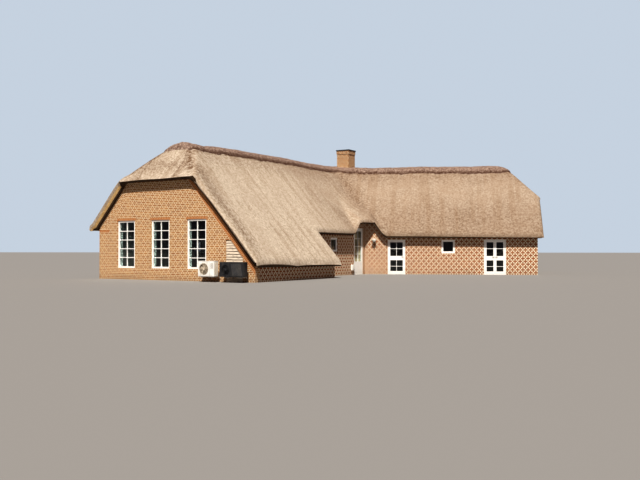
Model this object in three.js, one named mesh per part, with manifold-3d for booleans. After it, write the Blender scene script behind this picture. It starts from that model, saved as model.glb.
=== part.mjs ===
// A thatched brick house of two wings that meet at an obtuse corner, from ground level up.
// Millimetres, +Z up. The origin is on the ground under the point where the two ridges cross.
// The east wing's ridge runs along +X. The west wing runs away from the origin at WING_ANGLE,
// ends in the tall gable and carries a catslide roof on its right-hand side.
import * as THREE from "three";
import { mergeVertices } from "three/addons/utils/BufferGeometryUtils.js";
import Module from "manifold-3d";

const wasm = await Module();
wasm.setup();

// Plan.
const WING_ANGLE = (21.9 * Math.PI) / 180;
const WALL = 350;
const WEST_LENGTH = 16100;
const EAST_LENGTH = 12720;
const HALF_BACK = 3970;
const HALF_NOOK = 4110;
const HALF_FRONT = 4200;
const SHED_OUT = 5600;
const SHED_END = 9030;
const FLOOR_TOP = 60;
const GAP = 0.3;

// Roof: heights of the outer and inner slope planes above the ridge line, and their slope.
const SLOPE = 1.14;
const OUTER_APEX = 7600;
const INNER_APEX = 7090;
const RIDGE_TOP = 6790;
const THATCH_TOP = 6670;
const COLLAR = 6250;
const CAP_HALF = 1120;
const CAP_THICK = 60;
const EAVE_DROP = 150;
const EAVE_BACK = 140;
const OVERHANG = 380;
const BACK_OVERHANG = 400;
const SHED_OVERHANG = 250;
const VERGE = 230;
const EAST_VERGE = 310;
const CATSLIDE_END = 8825;

// Half-hips: the outer lower edge (distance along the ridge, height), slope and crest.
const WEST_HIP = { out: 16430, edge: 4910, slope: 1.0, crest: 14250, level: 4760 };
const EAST_HIP = { out: 13080, edge: 4620, slope: 1.14, crest: 10950, level: 4470 };

// Raised eave over the entrance.
const CANOPY_LEVEL = 3050;
const CANOPY_OUT = 5514;
const CANOPY_ANGLE = Math.atan2(0.775, 0.632);

const FAR = 30000;

function material(color, roughness, metalness = 0) {
  return new THREE.MeshStandardMaterial({ color, roughness, metalness });
}

const brick = material(0xb4693f, 0.92);
const thatch = material(0xb59c78, 0.98);
const heather = material(0x5d4837, 1.0);
const whiteWood = material(0xf1efe8, 0.55);
const glass = material(0x33444a, 0.06);
const concrete = material(0x9b978e, 0.9);
const slate = material(0x2f3133, 0.7);
const whiteSteel = material(0xe9e9e4, 0.45);
const blackSteel = material(0x26282b, 0.5);
const lampGlass = material(0xf4f3ee, 0.3);

const house = new THREE.Group();
house.name = "thatched_cottage";

// A closed three.js geometry as a solid for the boolean steps.
function solid(geometry) {
  const bare = geometry.clone();
  bare.deleteAttribute("normal");
  bare.deleteAttribute("uv");
  const merged = mergeVertices(bare, 1e-3);
  return new wasm.Manifold(
    new wasm.Mesh({
      numProp: 3,
      vertProperties: new Float32Array(merged.attributes.position.array),
      triVerts: new Uint32Array(merged.index.array),
    }),
  );
}

function geometryOf(body) {
  const mesh = body.getMesh();
  const positions = new Float32Array(mesh.numVert * 3);
  for (let i = 0; i < mesh.numVert; i++) {
    positions.set(mesh.vertProperties.subarray(i * mesh.numProp, i * mesh.numProp + 3), i * 3);
  }
  const geometry = new THREE.BufferGeometry();
  geometry.setAttribute("position", new THREE.BufferAttribute(positions, 3));
  geometry.setIndex(new THREE.BufferAttribute(new Uint32Array(mesh.triVerts), 1));
  const flat = geometry.toNonIndexed();
  flat.computeVertexNormals();
  return flat;
}

function addMesh(name, body, look, parent = house) {
  const mesh = new THREE.Mesh(geometryOf(body), look);
  mesh.name = name;
  parent.add(mesh);
  return mesh;
}

function extrude(points, depth) {
  const shape = new THREE.Shape(points.map(([x, y]) => new THREE.Vector2(x, y)));
  return new THREE.ExtrudeGeometry(shape, { depth, bevelEnabled: false });
}

// Points (x, y) raised from one height to another.
function planPrism(points, low, high) {
  return extrude(points, high - low).translate(0, 0, low);
}

// Points (y, z) swept along X.
function prismX(points, from, to) {
  const turn = new THREE.Matrix4().makeBasis(
    new THREE.Vector3(0, 1, 0),
    new THREE.Vector3(0, 0, 1),
    new THREE.Vector3(1, 0, 0),
  );
  return extrude(points, to - from).applyMatrix4(turn).translate(from, 0, 0);
}

// Points (x, z) swept along Y.
function prismY(points, from, to) {
  return extrude(points, to - from).rotateX(Math.PI / 2).translate(0, to, 0);
}

function box(x0, x1, y0, y1, z0, z1) {
  const geometry = new THREE.BoxGeometry(x1 - x0, y1 - y0, z1 - z0);
  return geometry.translate((x0 + x1) / 2, (y0 + y1) / 2, (z0 + z1) / 2);
}

// The west wing is drawn with X across it (nook side positive) and Y from its gable to the
// origin, then turned by the wing angle.
function inWest(geometry) {
  return geometry.clone().rotateZ(-WING_ANGLE);
}

function westPoint(across, along) {
  const x = across * Math.cos(WING_ANGLE) - along * Math.sin(WING_ANGLE);
  const y = -across * Math.sin(WING_ANGLE) - along * Math.cos(WING_ANGLE);
  return [x, y];
}

// The vertical plane through both ridges' crossing that halves the angle between the wings.
const MITRE_ANGLE = Math.atan2(-Math.cos(WING_ANGLE), 1 - Math.sin(WING_ANGLE));
const MITRE = [Math.cos(MITRE_ANGLE), Math.sin(MITRE_ANGLE)];

function halfPlan(side, shift) {
  const [dx, dy] = MITRE;
  const nx = -dy * side * shift;
  const ny = dx * side * shift;
  const a = [nx - dx * FAR, ny - dy * FAR];
  const b = [nx + dx * FAR, ny + dy * FAR];
  const away = side * FAR * 2;
  const c = [b[0] - dy * away, b[1] + dx * away];
  const d = [a[0] - dy * away, a[1] + dx * away];
  return solid(planPrism([a, b, c, d], -500, 9500));
}

// Height profile of the outer roof surface from the ridge to an eave at distance out.
// The eave is cut back under its outer edge and runs level to the wall or the inner plane.
function outerSide(wallFace, overhang, lift) {
  const out = wallFace + overhang;
  const edge = OUTER_APEX - SLOPE * out;
  const level = Math.min(edge - EAVE_DROP, INNER_APEX - SLOPE * wallFace);
  return [
    [600, THATCH_TOP - 80 + lift],
    [CAP_HALF, OUTER_APEX - SLOPE * CAP_HALF + lift],
    [out, edge + lift],
    [out - EAVE_BACK, level],
    [(INNER_APEX - level) / SLOPE, level],
  ];
}

function outerProfile(right, rightOverhang, lift) {
  const left = outerSide(HALF_BACK, BACK_OVERHANG, lift).map(([u, z]) => [-u, z]);
  return [[0, THATCH_TOP + lift], ...outerSide(right, rightOverhang, lift), ...left.reverse()];
}

function innerProfile(lower) {
  const reach = 7000;
  const flat = (INNER_APEX - COLLAR) / SLOPE;
  const foot = INNER_APEX - SLOPE * reach - lower;
  return [
    [-reach, foot],
    [-flat, COLLAR - lower],
    [flat, COLLAR - lower],
    [reach, foot],
  ];
}

// Profiles (distance along the ridge, height) of a half-hip, outside and inside.
function hipOuter(hip, verge, lift) {
  return [
    [-FAR, -3000],
    [-FAR, 9000],
    [hip.crest - 400, 9000],
    [hip.crest - 400, THATCH_TOP + lift],
    [hip.crest, THATCH_TOP - 20 + lift],
    [hip.crest + 350, THATCH_TOP - 150 + lift],
    [hip.out - (6400 - hip.edge) / hip.slope, 6400 + lift],
    [hip.out, hip.edge + lift],
    [verge, hip.level],
    [verge, -3000],
  ];
}

function hipInner(hip, wallFace, lower) {
  const thick = 430;
  const inner = (z) => hip.out - (z - hip.edge + thick) / hip.slope;
  const bearing = wallFace - 50 - lower;
  return [
    [-FAR, -3500],
    [-FAR, COLLAR - lower],
    [inner(COLLAR), COLLAR - lower],
    [bearing, hip.edge - thick + (hip.out - bearing) * hip.slope - lower],
    [bearing, hip.level - lower],
    [wallFace + 900, hip.level - lower],
    [wallFace + 900, -3500],
  ];
}

const mirrorAlong = (points) => points.map(([t, z]) => [-t, z]);

function westSolid(geometry) {
  return solid(inWest(geometry));
}

// The hip profiles' distances along the ridge are -Y in the west wing's own frame.
function westOuter(right, overhang, lift = 0) {
  const profile = outerProfile(right, overhang, lift);
  const main = westSolid(prismY(profile, -WEST_HIP.out - 200, 8000));
  const hipProfile = mirrorAlong(hipOuter(WEST_HIP, WEST_LENGTH + VERGE, lift));
  return main.intersect(westSolid(prismX(hipProfile, -9000, 9000)));
}

function westInner(lower) {
  const main = westSolid(prismY(innerProfile(lower), -WEST_LENGTH - 900, 8000));
  const hip = westSolid(prismX(mirrorAlong(hipInner(WEST_HIP, WEST_LENGTH, lower)), -9000, 9000));
  return main.intersect(hip);
}

function eastOuter(lift = 0) {
  const flipped = outerProfile(HALF_FRONT, OVERHANG, lift).map(([u, z]) => [-u, z]);
  const main = solid(prismX(flipped, -8000, EAST_HIP.out + 200));
  const hipProfile = hipOuter(EAST_HIP, EAST_LENGTH + EAST_VERGE, lift);
  return main.intersect(solid(prismY(hipProfile, -9000, 9000)));
}

function eastInner(lower) {
  const main = solid(prismX(innerProfile(lower), -8000, EAST_LENGTH + 900));
  const hip = solid(prismY(hipInner(EAST_HIP, EAST_LENGTH, lower), -9000, 9000));
  return main.intersect(hip);
}

const westSide = halfPlan(-1, 0.2);
const eastSide = halfPlan(1, 0.2);

// Space cut out under the raised eave at the entrance corner. The walls fill it with an inset.
function entranceSpace(inset) {
  const top = CANOPY_LEVEL - inset;
  const nookSide = [
    [-4950 + inset, 2250],
    [-4125 + inset, top],
    [-2500, top],
    [-2500, 1500],
    [-4950 + inset, 1500],
  ];
  const frontSide = [
    [1800, top],
    [3376 - inset, top],
    [4020 - inset, 2150],
    [4020 - inset, 1500],
    [1800, 1500],
  ];
  const nook = westSolid(prismX(nookSide, nookInner + inset, 5400));
  const front = solid(prismY(frontSide, -5400, -frontInner - inset));
  return nook.intersect(halfPlan(-1, -1)).add(front.intersect(halfPlan(1, -1)));
}

const nookInner = HALF_NOOK - WALL;
const frontInner = HALF_FRONT - WALL;
const entranceCut = entranceSpace(0);
const entranceWallCut = entranceSpace(0.5);

const underWest = westInner(0.6);
const underEast = eastInner(0.6);
const underRoof = underWest.intersect(halfPlan(-1, -1)).add(underEast.intersect(halfPlan(1, -1)));
const underRoofAtEntrance = underRoof.add(entranceWallCut);

// Chimney: a square brick stack through the east ridge, faces along the west wing.
const CHIMNEY_X = 1122;
const CHIMNEY_HALF = 425;
const CHIMNEY_TOP = 7884;
const CHIMNEY_SLAB = 60;
const FLUE_HALF = 180;

function chimneyBox(half, low, high) {
  const block = box(-half, half, -half, half, low, high).rotateZ(-WING_ANGLE);
  return solid(block.translate(CHIMNEY_X, 0, 0));
}

const chimneyHole = chimneyBox(CHIMNEY_HALF + GAP, -100, 9000);
const flue = chimneyBox(FLUE_HALF, CHIMNEY_TOP - 900, CHIMNEY_TOP + 100);
const stack = chimneyBox(CHIMNEY_HALF, FLOOR_TOP + GAP, CHIMNEY_TOP - CHIMNEY_SLAB - GAP)
  .add(chimneyBox(CHIMNEY_HALF + 25, CHIMNEY_TOP - 280, CHIMNEY_TOP - CHIMNEY_SLAB - GAP))
  .subtract(flue);
addMesh("chimney_stack", stack, brick);
addMesh(
  "chimney_slab",
  chimneyBox(CHIMNEY_HALF + 50, CHIMNEY_TOP - CHIMNEY_SLAB, CHIMNEY_TOP).subtract(flue),
  slate,
);

// Thatch shells, split along the ridges, hips, mitre and the end of the catslide.
const eastRoof = eastOuter().subtract(eastInner(0)).intersect(eastSide).subtract(chimneyHole);

function westRoof(right, overhang) {
  return westOuter(right, overhang).subtract(westInner(0)).intersect(westSide);
}

function hipWedge(hip, shift) {
  const start = hip.out - (OUTER_APEX - hip.edge) / hip.slope + shift;
  const reach = 4200;
  const spread = (reach * hip.slope) / SLOPE;
  return [
    [start, 0],
    [start + reach, spread],
    [start + reach, -spread],
  ];
}

const westHipOut = westSolid(planPrism(hipWedge(WEST_HIP, 0).map(([t, u]) => [u, -t]), 0, 9000));
const westHipIn = westSolid(planPrism(hipWedge(WEST_HIP, 0.5).map(([t, u]) => [u, -t]), 0, 9000));
const eastHipOut = solid(planPrism(hipWedge(EAST_HIP, 0), 0, 9000));
const eastHipIn = solid(planPrism(hipWedge(EAST_HIP, 0.5), 0, 9000));

const nookRoof = westRoof(HALF_NOOK, OVERHANG);
const shedRoof = westRoof(SHED_OUT, SHED_OVERHANG);
const leftHalf = westSolid(box(-9000, -0.2, -20000, 9000, 0, 9000));
const frontRight = westSolid(box(0.2, 9000, -20000, -CATSLIDE_END - 0.2, 0, 9000));
const nookRight = westSolid(box(0.2, 9000, -CATSLIDE_END + 0.2, 9000, 0, 9000));
addMesh("thatch_west_slope", shedRoof.intersect(leftHalf).subtract(westHipOut), thatch);
addMesh("thatch_catslide", shedRoof.intersect(frontRight).subtract(westHipOut), thatch);
addMesh("thatch_nook_slope", nookRoof.intersect(nookRight).subtract(entranceCut), thatch);
addMesh("thatch_west_half_hip", shedRoof.intersect(westHipIn), thatch);

const frontHalf = solid(box(-9000, 20000, -9000, -0.2, 0, 9000));
const backHalf = solid(box(-9000, 20000, 0.2, 9000, 0, 9000));
const frontSlope = eastRoof.intersect(frontHalf).subtract(eastHipOut);
addMesh("thatch_front_slope", frontSlope.subtract(entranceCut), thatch);
addMesh("thatch_back_slope", eastRoof.intersect(backHalf).subtract(eastHipOut), thatch);
addMesh("thatch_east_half_hip", eastRoof.intersect(eastHipIn), thatch);

// Thatch filled into the valley as a canopy over the entrance.
const canopyProfile = [
  [2000, CANOPY_LEVEL],
  [CANOPY_OUT - 40, CANOPY_LEVEL],
  [CANOPY_OUT + 20, CANOPY_LEVEL + 170],
  [2000, CANOPY_LEVEL + 170 + 0.62 * (CANOPY_OUT - 1980)],
];
const canopyBlock = solid(
  prismY(canopyProfile, -2600, -1414).rotateZ(CANOPY_ANGLE - Math.PI / 2),
);
const westBody = westOuter(HALF_NOOK, OVERHANG, GAP);
const eastBody = eastOuter(GAP);
const westMass = westBody.intersect(halfPlan(-1, -1));
const eastMass = eastBody.intersect(halfPlan(1, -1));
const nookShoulder = westSolid(
  prismX(
    [
      [-4870, 2482],
      [-4711, 2482],
      [-4125, CANOPY_LEVEL],
      [-3900, CANOPY_LEVEL],
      [-3900, CANOPY_LEVEL + 190],
      [-4200, CANOPY_LEVEL + 170],
    ],
    2600,
    HALF_NOOK + OVERHANG,
  ),
);
const frontShoulder = solid(
  prismY(
    [
      [3100, CANOPY_LEVEL],
      [3376, CANOPY_LEVEL],
      [3855, 2380],
      [4080, 2380],
      [3520, CANOPY_LEVEL + 160],
      [3100, CANOPY_LEVEL + 190],
    ],
    -HALF_FRONT - OVERHANG,
    -2600,
  ),
);
const canopy = canopyBlock.add(nookShoulder).add(frontShoulder);
addMesh("thatch_entrance_canopy", canopy.subtract(westMass).subtract(eastMass), thatch);

// Heather caps over both ridges, turned down over the crests of the half-hips.
const capEdge = OUTER_APEX - SLOPE * CAP_HALF;
const capSide = CAP_HALF - 12;
const capProfile = [
  [-capSide, 6000],
  [-capSide, capEdge + CAP_THICK],
  [-560, RIDGE_TOP - 90],
  [0, RIDGE_TOP],
  [560, RIDGE_TOP - 90],
  [capSide, capEdge + CAP_THICK],
  [capSide, 6000],
];

function capEnd(hip) {
  const end = hip.out - (capEdge - hip.edge) / hip.slope - 12;
  return [
    [-FAR, 5000],
    [-FAR, 9000],
    [hip.crest - 400, 9000],
    [hip.crest - 400, RIDGE_TOP],
    [hip.crest, RIDGE_TOP - 20],
    [hip.crest + 350, RIDGE_TOP - 150],
    [end, capEdge + CAP_THICK],
    [end, 5000],
  ];
}

const westCap = westSolid(prismY(capProfile, -WEST_LENGTH, 4000))
  .intersect(westSolid(prismX(mirrorAlong(capEnd(WEST_HIP)), -9000, 9000)))
  .intersect(westSide);
const eastCap = solid(prismX(capProfile, -4000, EAST_LENGTH))
  .intersect(solid(prismY(capEnd(EAST_HIP), -9000, 9000)))
  .intersect(eastSide);
addMesh("ridge_cap_west", westCap.subtract(westBody), heather);
addMesh("ridge_cap_east", eastCap.subtract(eastBody).subtract(chimneyHole), heather);

// Walls stand on the ground and are cut off under the thatch.
function crossing(across, y) {
  const along = (-y - across * Math.sin(WING_ANGLE)) / Math.cos(WING_ANGLE);
  return westPoint(across, along);
}

function wall(name, plan, low, openings = [], roof = underRoof) {
  let body = solid(planPrism(plan, low, 9000)).intersect(roof);
  for (const opening of openings) {
    body = body.subtract(opening);
  }
  return addMesh(name, body, brick);
}

function eastPlan(x0, x1, y0, y1) {
  return [
    [x0, y0],
    [x1, y0],
    [x1, y1],
    [x0, y1],
  ];
}

// Distances across and along the west wing, as a plan in the shared frame.
function westPlan(u0, u1, t0, t1) {
  return [westPoint(u0, t0), westPoint(u1, t0), westPoint(u1, t1), westPoint(u0, t1)];
}

const GABLE_WINDOWS = [
  { side: "left", at: -2710 },
  { side: "middle", at: -500 },
  { side: "right", at: 1715 },
];
const GABLE_WINDOW = { width: 1140, height: 2320, sill: 555 };
const SMALL_WINDOW = { width: 780, height: 780 };
const NOOK_WINDOW = { from: 6865, sill: 1337 };
const KITCHEN_WINDOW = { from: 7255, sill: 1240 };
const BACK_WINDOW = { to: 5780, sill: 1240 };
const WEST_WINDOW = { from: 8200, sill: 1240 };
const ENTRANCE = { from: 4180, to: 3050, top: 2705 };
const TERRACE_DOOR = { from: 4123, to: 5155, top: 2035 };
const FRENCH_DOOR = { from: 9694, to: 10945, top: 2035 };

// White boarded infill low in the gable, under its raking brick band.
const PANEL = [
  [3980, -20],
  [3980, 1890],
  [4270, 1890],
  [4930, 1090],
  [4930, -20],
];
const PANEL_BOARDS = [
  [3980 + GAP, GAP],
  [3980 + GAP, 1890 - GAP],
  [4270 - GAP, 1890 - GAP],
  [4930 - GAP, 1090 - GAP],
  [4930 - GAP, GAP],
];

const gableOpenings = GABLE_WINDOWS.map(({ at }) => {
  const { width, height, sill } = GABLE_WINDOW;
  return westSolid(box(at, at + width, -16300, -15600, sill, sill + height));
});
gableOpenings.push(westSolid(prismY(PANEL, -16300, -15600)));
const gableFace = WEST_LENGTH - WALL;
wall("gable_wall", westPlan(-HALF_BACK, SHED_OUT, gableFace, WEST_LENGTH), 0, gableOpenings);
addMesh("boarded_panel", westSolid(prismY(PANEL_BOARDS, -WEST_LENGTH + 15, -WEST_LENGTH + 75)), whiteWood);

const shedInner = SHED_OUT - WALL;
const shedEndInner = SHED_END + WALL;
wall("shed_wall", westPlan(shedInner, SHED_OUT, shedEndInner + GAP, gableFace - GAP), 0);
wall("shed_end_wall", westPlan(HALF_NOOK + GAP, SHED_OUT, SHED_END, shedEndInner), 0);

const westWindowCut = westSolid(
  box(
    -HALF_BACK - 200,
    -HALF_BACK + WALL + 200,
    -WEST_WINDOW.from - SMALL_WINDOW.width,
    -WEST_WINDOW.from,
    WEST_WINDOW.sill,
    WEST_WINDOW.sill + SMALL_WINDOW.height,
  ),
);
const backInner = HALF_BACK - WALL;
wall(
  "west_wall",
  [
    westPoint(-HALF_BACK, gableFace - GAP),
    westPoint(-backInner, gableFace - GAP),
    crossing(-backInner, backInner - GAP),
    crossing(-HALF_BACK, HALF_BACK - GAP),
  ],
  0,
  [westWindowCut],
  underWest,
);

const nookWindowCut = westSolid(
  box(
    HALF_NOOK - WALL - 200,
    HALF_NOOK + 200,
    -NOOK_WINDOW.from,
    -NOOK_WINDOW.from + SMALL_WINDOW.width,
    NOOK_WINDOW.sill,
    NOOK_WINDOW.sill + SMALL_WINDOW.height,
  ),
);
wall(
  "entrance_wall",
  westPlan(nookInner, HALF_NOOK, ENTRANCE.from, shedEndInner),
  0,
  [nookWindowCut],
  underRoofAtEntrance,
);
wall(
  "entrance_lintel",
  westPlan(nookInner, HALF_NOOK, ENTRANCE.to + GAP, ENTRANCE.from - GAP),
  ENTRANCE.top,
  [],
  underRoofAtEntrance,
);
wall(
  "corner_wall",
  [
    westPoint(HALF_NOOK, ENTRANCE.to),
    crossing(HALF_NOOK, -HALF_FRONT),
    [TERRACE_DOOR.from, -HALF_FRONT],
    [TERRACE_DOOR.from, -frontInner],
    crossing(nookInner, -frontInner),
    westPoint(nookInner, ENTRANCE.to),
  ],
  0,
  [],
  underRoofAtEntrance,
);

function frontPlan(x0, x1) {
  return eastPlan(x0, x1, -HALF_FRONT, -frontInner);
}

function windowCut(x0, y0, y1, sill) {
  const { width, height } = SMALL_WINDOW;
  return solid(box(x0, x0 + width, y0, y1, sill, sill + height));
}

const kitchenCut = windowCut(KITCHEN_WINDOW.from, -5000, -3000, KITCHEN_WINDOW.sill);
const backCut = windowCut(BACK_WINDOW.to - SMALL_WINDOW.width, 3000, 5000, BACK_WINDOW.sill);
const eastInnerFace = EAST_LENGTH - WALL;
wall("terrace_lintel", frontPlan(TERRACE_DOOR.from + GAP, TERRACE_DOOR.to - GAP), TERRACE_DOOR.top);
wall("front_wall", frontPlan(TERRACE_DOOR.to, FRENCH_DOOR.from), 0, [kitchenCut]);
wall("french_door_lintel", frontPlan(FRENCH_DOOR.from + GAP, FRENCH_DOOR.to - GAP), FRENCH_DOOR.top);
wall("front_end_wall", frontPlan(FRENCH_DOOR.to, eastInnerFace - GAP), 0);
wall("east_gable_wall", eastPlan(eastInnerFace, EAST_LENGTH, -HALF_FRONT, HALF_BACK), 0);
wall(
  "back_wall",
  [
    crossing(-backInner, backInner),
    [eastInnerFace - GAP, backInner],
    [eastInnerFace - GAP, HALF_BACK],
    crossing(-HALF_BACK, HALF_BACK),
  ],
  0,
  [backCut],
  underEast,
);

// Floor slab inside the walls; its underside is the house's bearing face.
addMesh(
  "floor_slab",
  solid(
    planPrism(
      [
        crossing(nookInner - GAP, -frontInner + GAP),
        [eastInnerFace - GAP, -frontInner + GAP],
        [eastInnerFace - GAP, backInner - GAP],
        crossing(-backInner + GAP, backInner - GAP),
        westPoint(-backInner + GAP, gableFace - GAP),
        westPoint(shedInner - GAP, gableFace - GAP),
        westPoint(shedInner - GAP, shedEndInner + GAP),
        westPoint(nookInner - GAP, shedEndInner + GAP),
      ],
      0,
      FLOOR_TOP,
    ),
  ),
  concrete,
);

// Joinery. Each group's X runs along the wall as seen from outside, Y inwards, Z up, from
// the lower left corner of the opening in the wall's outer face.
function opening(x, y, z, turn, frame = 0) {
  const group = new THREE.Group();
  const c = Math.cos(frame);
  const s = Math.sin(frame);
  group.position.set(x * c - y * s, x * s + y * c, z);
  group.rotation.z = frame + turn;
  house.add(group);
  return group;
}

const RECESS = 40;

function glazedWindow(name, group, width, height, columns, rows, border, bar) {
  const inside = { left: border, right: width - border, low: border, high: height - border };
  let frame = solid(box(GAP, width - GAP, RECESS, RECESS + 90, GAP, height - GAP));
  frame = frame.subtract(
    solid(box(inside.left, inside.right, 0, 300, inside.low, inside.high)),
  );
  const back = RECESS + 55 - GAP;
  for (let i = 1; i < columns; i++) {
    const x = inside.left + ((inside.right - inside.left) * i) / columns;
    frame = frame.add(
      solid(box(x - bar / 2, x + bar / 2, RECESS + 15, back, inside.low - 10, inside.high + 10)),
    );
  }
  for (let j = 1; j < rows; j++) {
    const z = inside.low + ((inside.high - inside.low) * j) / rows;
    frame = frame.add(
      solid(box(inside.left - 10, inside.right + 10, RECESS + 15, back, z - bar / 2, z + bar / 2)),
    );
  }
  addMesh(name + "_frame", frame, whiteWood, group);
  const pane = box(
    inside.left + GAP,
    inside.right - GAP,
    RECESS + 55,
    RECESS + 75,
    inside.low + GAP,
    inside.high - GAP,
  );
  addMesh(name + "_glass", solid(pane), glass, group);
}

for (const { side, at } of GABLE_WINDOWS) {
  const group = opening(at, -WEST_LENGTH, GABLE_WINDOW.sill, 0, -WING_ANGLE);
  glazedWindow("gable_window_" + side, group, GABLE_WINDOW.width, GABLE_WINDOW.height, 2, 5, 85, 40);
}

const { width: SW, height: SH } = SMALL_WINDOW;
glazedWindow(
  "nook_window",
  opening(HALF_NOOK, -NOOK_WINDOW.from, NOOK_WINDOW.sill, Math.PI / 2, -WING_ANGLE),
  SW, SH, 1, 1, 110, 40,
);
glazedWindow(
  "kitchen_window",
  opening(KITCHEN_WINDOW.from, -HALF_FRONT, KITCHEN_WINDOW.sill, 0),
  SW, SH, 1, 1, 110, 40,
);
glazedWindow("back_window", opening(BACK_WINDOW.to, HALF_BACK, BACK_WINDOW.sill, Math.PI), SW, SH, 1, 1, 110, 40);
glazedWindow(
  "west_window",
  opening(-HALF_BACK, -WEST_WINDOW.from, WEST_WINDOW.sill, -Math.PI / 2, -WING_ANGLE),
  SW, SH, 1, 1, 110, 40,
);

// A door lining: jambs, head and a low threshold.
const JAMB = 60;
const DOOR_DEPTH = 30;
const LEAF = 56;
const CLEAR = 6;
const HINGE_HEIGHTS = [330, 1700];

// Lift-off hinges: a knuckle on the leaf sits over one on the lining, on a shared axis just
// outside the leaf's edge.
const KNUCKLE = 50;
const HINGE_OUT = 12;
const HINGE_EDGE = 3;

function knuckle(axisX, plateX, low) {
  const y = DOOR_DEPTH - HINGE_OUT;
  const barrel = new THREE.CylinderGeometry(8, 8, KNUCKLE, 16).rotateX(Math.PI / 2);
  barrel.translate(axisX, y, low + KNUCKLE / 2);
  const left = Math.min(axisX, plateX);
  const right = Math.max(axisX, plateX);
  const plate = box(left, right, y + 3, DOOR_DEPTH + 0.5, low, low + KNUCKLE);
  return solid(barrel).add(solid(plate));
}

function lining(name, group, width, height, threshold, hinges) {
  let frame = solid(box(GAP, width - GAP, DOOR_DEPTH, DOOR_DEPTH + 100, GAP, height - GAP));
  frame = frame.subtract(solid(box(JAMB, width - JAMB, -10, 300, threshold, height - JAMB)));
  for (const side of hinges) {
    const inner = JAMB + CLEAR - HINGE_EDGE;
    const axisX = side < 0 ? inner : width - inner;
    for (const z of HINGE_HEIGHTS) {
      frame = frame.add(knuckle(axisX, axisX + side * 28, z - KNUCKLE - GAP));
    }
  }
  addMesh(name, frame, whiteWood, group);
}

// A glazed leaf hung flush with the lining's outer face. Panes are rows of [low, high].
function doorLeaf(name, group, x0, x1, low, high, columns, rows, handleSide) {
  const y0 = DOOR_DEPTH;
  const stile = 85;
  let leaf = solid(box(x0, x1, y0, y0 + LEAF, low, high));
  const left = x0 + stile;
  const right = x1 - stile;
  const step = (right - left) / columns;
  const half = columns > 1 ? 14 : 0;
  for (const [bottom, top] of rows) {
    for (let i = 0; i < columns; i++) {
      const a = left + step * i + (i > 0 ? half : 0);
      const b = left + step * (i + 1) - (i < columns - 1 ? half : 0);
      leaf = leaf.subtract(solid(box(a, b, -50, 300, bottom, top)));
    }
  }
  const lowest = Math.min(...rows.map(([bottom]) => bottom)) - 20;
  const highest = Math.max(...rows.map(([, top]) => top)) + 20;
  const rebate = y0 + 28;
  leaf = leaf.subtract(solid(box(left - 20, right + 20, rebate, 300, lowest, highest)));
  const handleX = handleSide > 0 ? x1 - 45 : x0 + 45;
  const handleZ = 1030;
  leaf = leaf.add(solid(box(handleX - 12, handleX + 12, y0 - 48, y0 + 5, handleZ - 12, handleZ + 12)));
  const lever = handleSide > 0 ? [handleX - 110, handleX + 12] : [handleX - 12, handleX + 110];
  leaf = leaf.add(solid(box(lever[0], lever[1], y0 - 48, y0 - 30, handleZ - 10, handleZ + 10)));
  const axisX = handleSide > 0 ? x0 - HINGE_EDGE : x1 + HINGE_EDGE;
  for (const z of HINGE_HEIGHTS) {
    leaf = leaf.add(knuckle(axisX, axisX + handleSide * 28, z));
  }
  addMesh(name, leaf, whiteWood, group);
  const pane = box(
    left - 20 + GAP,
    right + 20 - GAP,
    rebate + GAP,
    rebate + 16,
    lowest + GAP,
    highest - GAP,
  );
  addMesh(name + "_glass", solid(pane), glass, group);
}

const entranceWidth = ENTRANCE.from - ENTRANCE.to;
const entrance = opening(HALF_NOOK, -ENTRANCE.from, 0, Math.PI / 2, -WING_ANGLE);
lining("entrance_frame", entrance, entranceWidth, ENTRANCE.top, 120, [1]);
doorLeaf(
  "entrance_door", entrance,
  JAMB + CLEAR, entranceWidth - JAMB - CLEAR, 120 + CLEAR, ENTRANCE.top - JAMB - CLEAR,
  2,
  [
    [760, 1180],
    [1208, 1628],
    [1656, 2076],
    [2104, 2524],
  ],
  -1,
);

const doorRows = [
  [190, 460],
  [488, 830],
  [1080, 1490],
  [1518, 1880],
];
const terraceWidth = TERRACE_DOOR.to - TERRACE_DOOR.from;
const terrace = opening(TERRACE_DOOR.from, -HALF_FRONT, 0, 0);
lining("terrace_door_frame", terrace, terraceWidth, TERRACE_DOOR.top, 45, [-1]);
doorLeaf(
  "terrace_door", terrace,
  JAMB + CLEAR, terraceWidth - JAMB - CLEAR, 45 + CLEAR, TERRACE_DOOR.top - JAMB - CLEAR,
  2, doorRows, 1,
);

const frenchWidth = FRENCH_DOOR.to - FRENCH_DOOR.from;
const french = opening(FRENCH_DOOR.from, -HALF_FRONT, 0, 0);
const frenchMiddle = frenchWidth / 2;
lining("french_door_frame", french, frenchWidth, FRENCH_DOOR.top, 45, [-1, 1]);
doorLeaf(
  "french_door_left", french,
  JAMB + CLEAR, frenchMiddle - CLEAR / 2, 45 + CLEAR, FRENCH_DOOR.top - JAMB - CLEAR,
  1, doorRows, 1,
);
doorLeaf(
  "french_door_right", french,
  frenchMiddle + CLEAR / 2, frenchWidth - JAMB - CLEAR, 45 + CLEAR, FRENCH_DOOR.top - JAMB - CLEAR,
  1, doorRows, -1,
);

// Globe lamp on a wall plate between the entrance and the terrace door.
const LAMP = { x: 3336, z: 1997, radius: 125, reach: 185 };
const lampPlate = new THREE.CylinderGeometry(50, 50, 24, 20).translate(0, -12 - GAP, 0);
const lampArm = new THREE.CylinderGeometry(16, 16, LAMP.reach - 20, 12).translate(0, -LAMP.reach / 2 - 10, 0);
const lampGlobe = new THREE.SphereGeometry(LAMP.radius, 20, 14).translate(0, -LAMP.reach, 0);
const lamp = solid(lampPlate).add(solid(lampArm)).add(solid(lampGlobe));
const lampMesh = addMesh("wall_lamp", lamp, lampGlass);
lampMesh.position.set(LAMP.x, -HALF_FRONT, LAMP.z);

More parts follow.
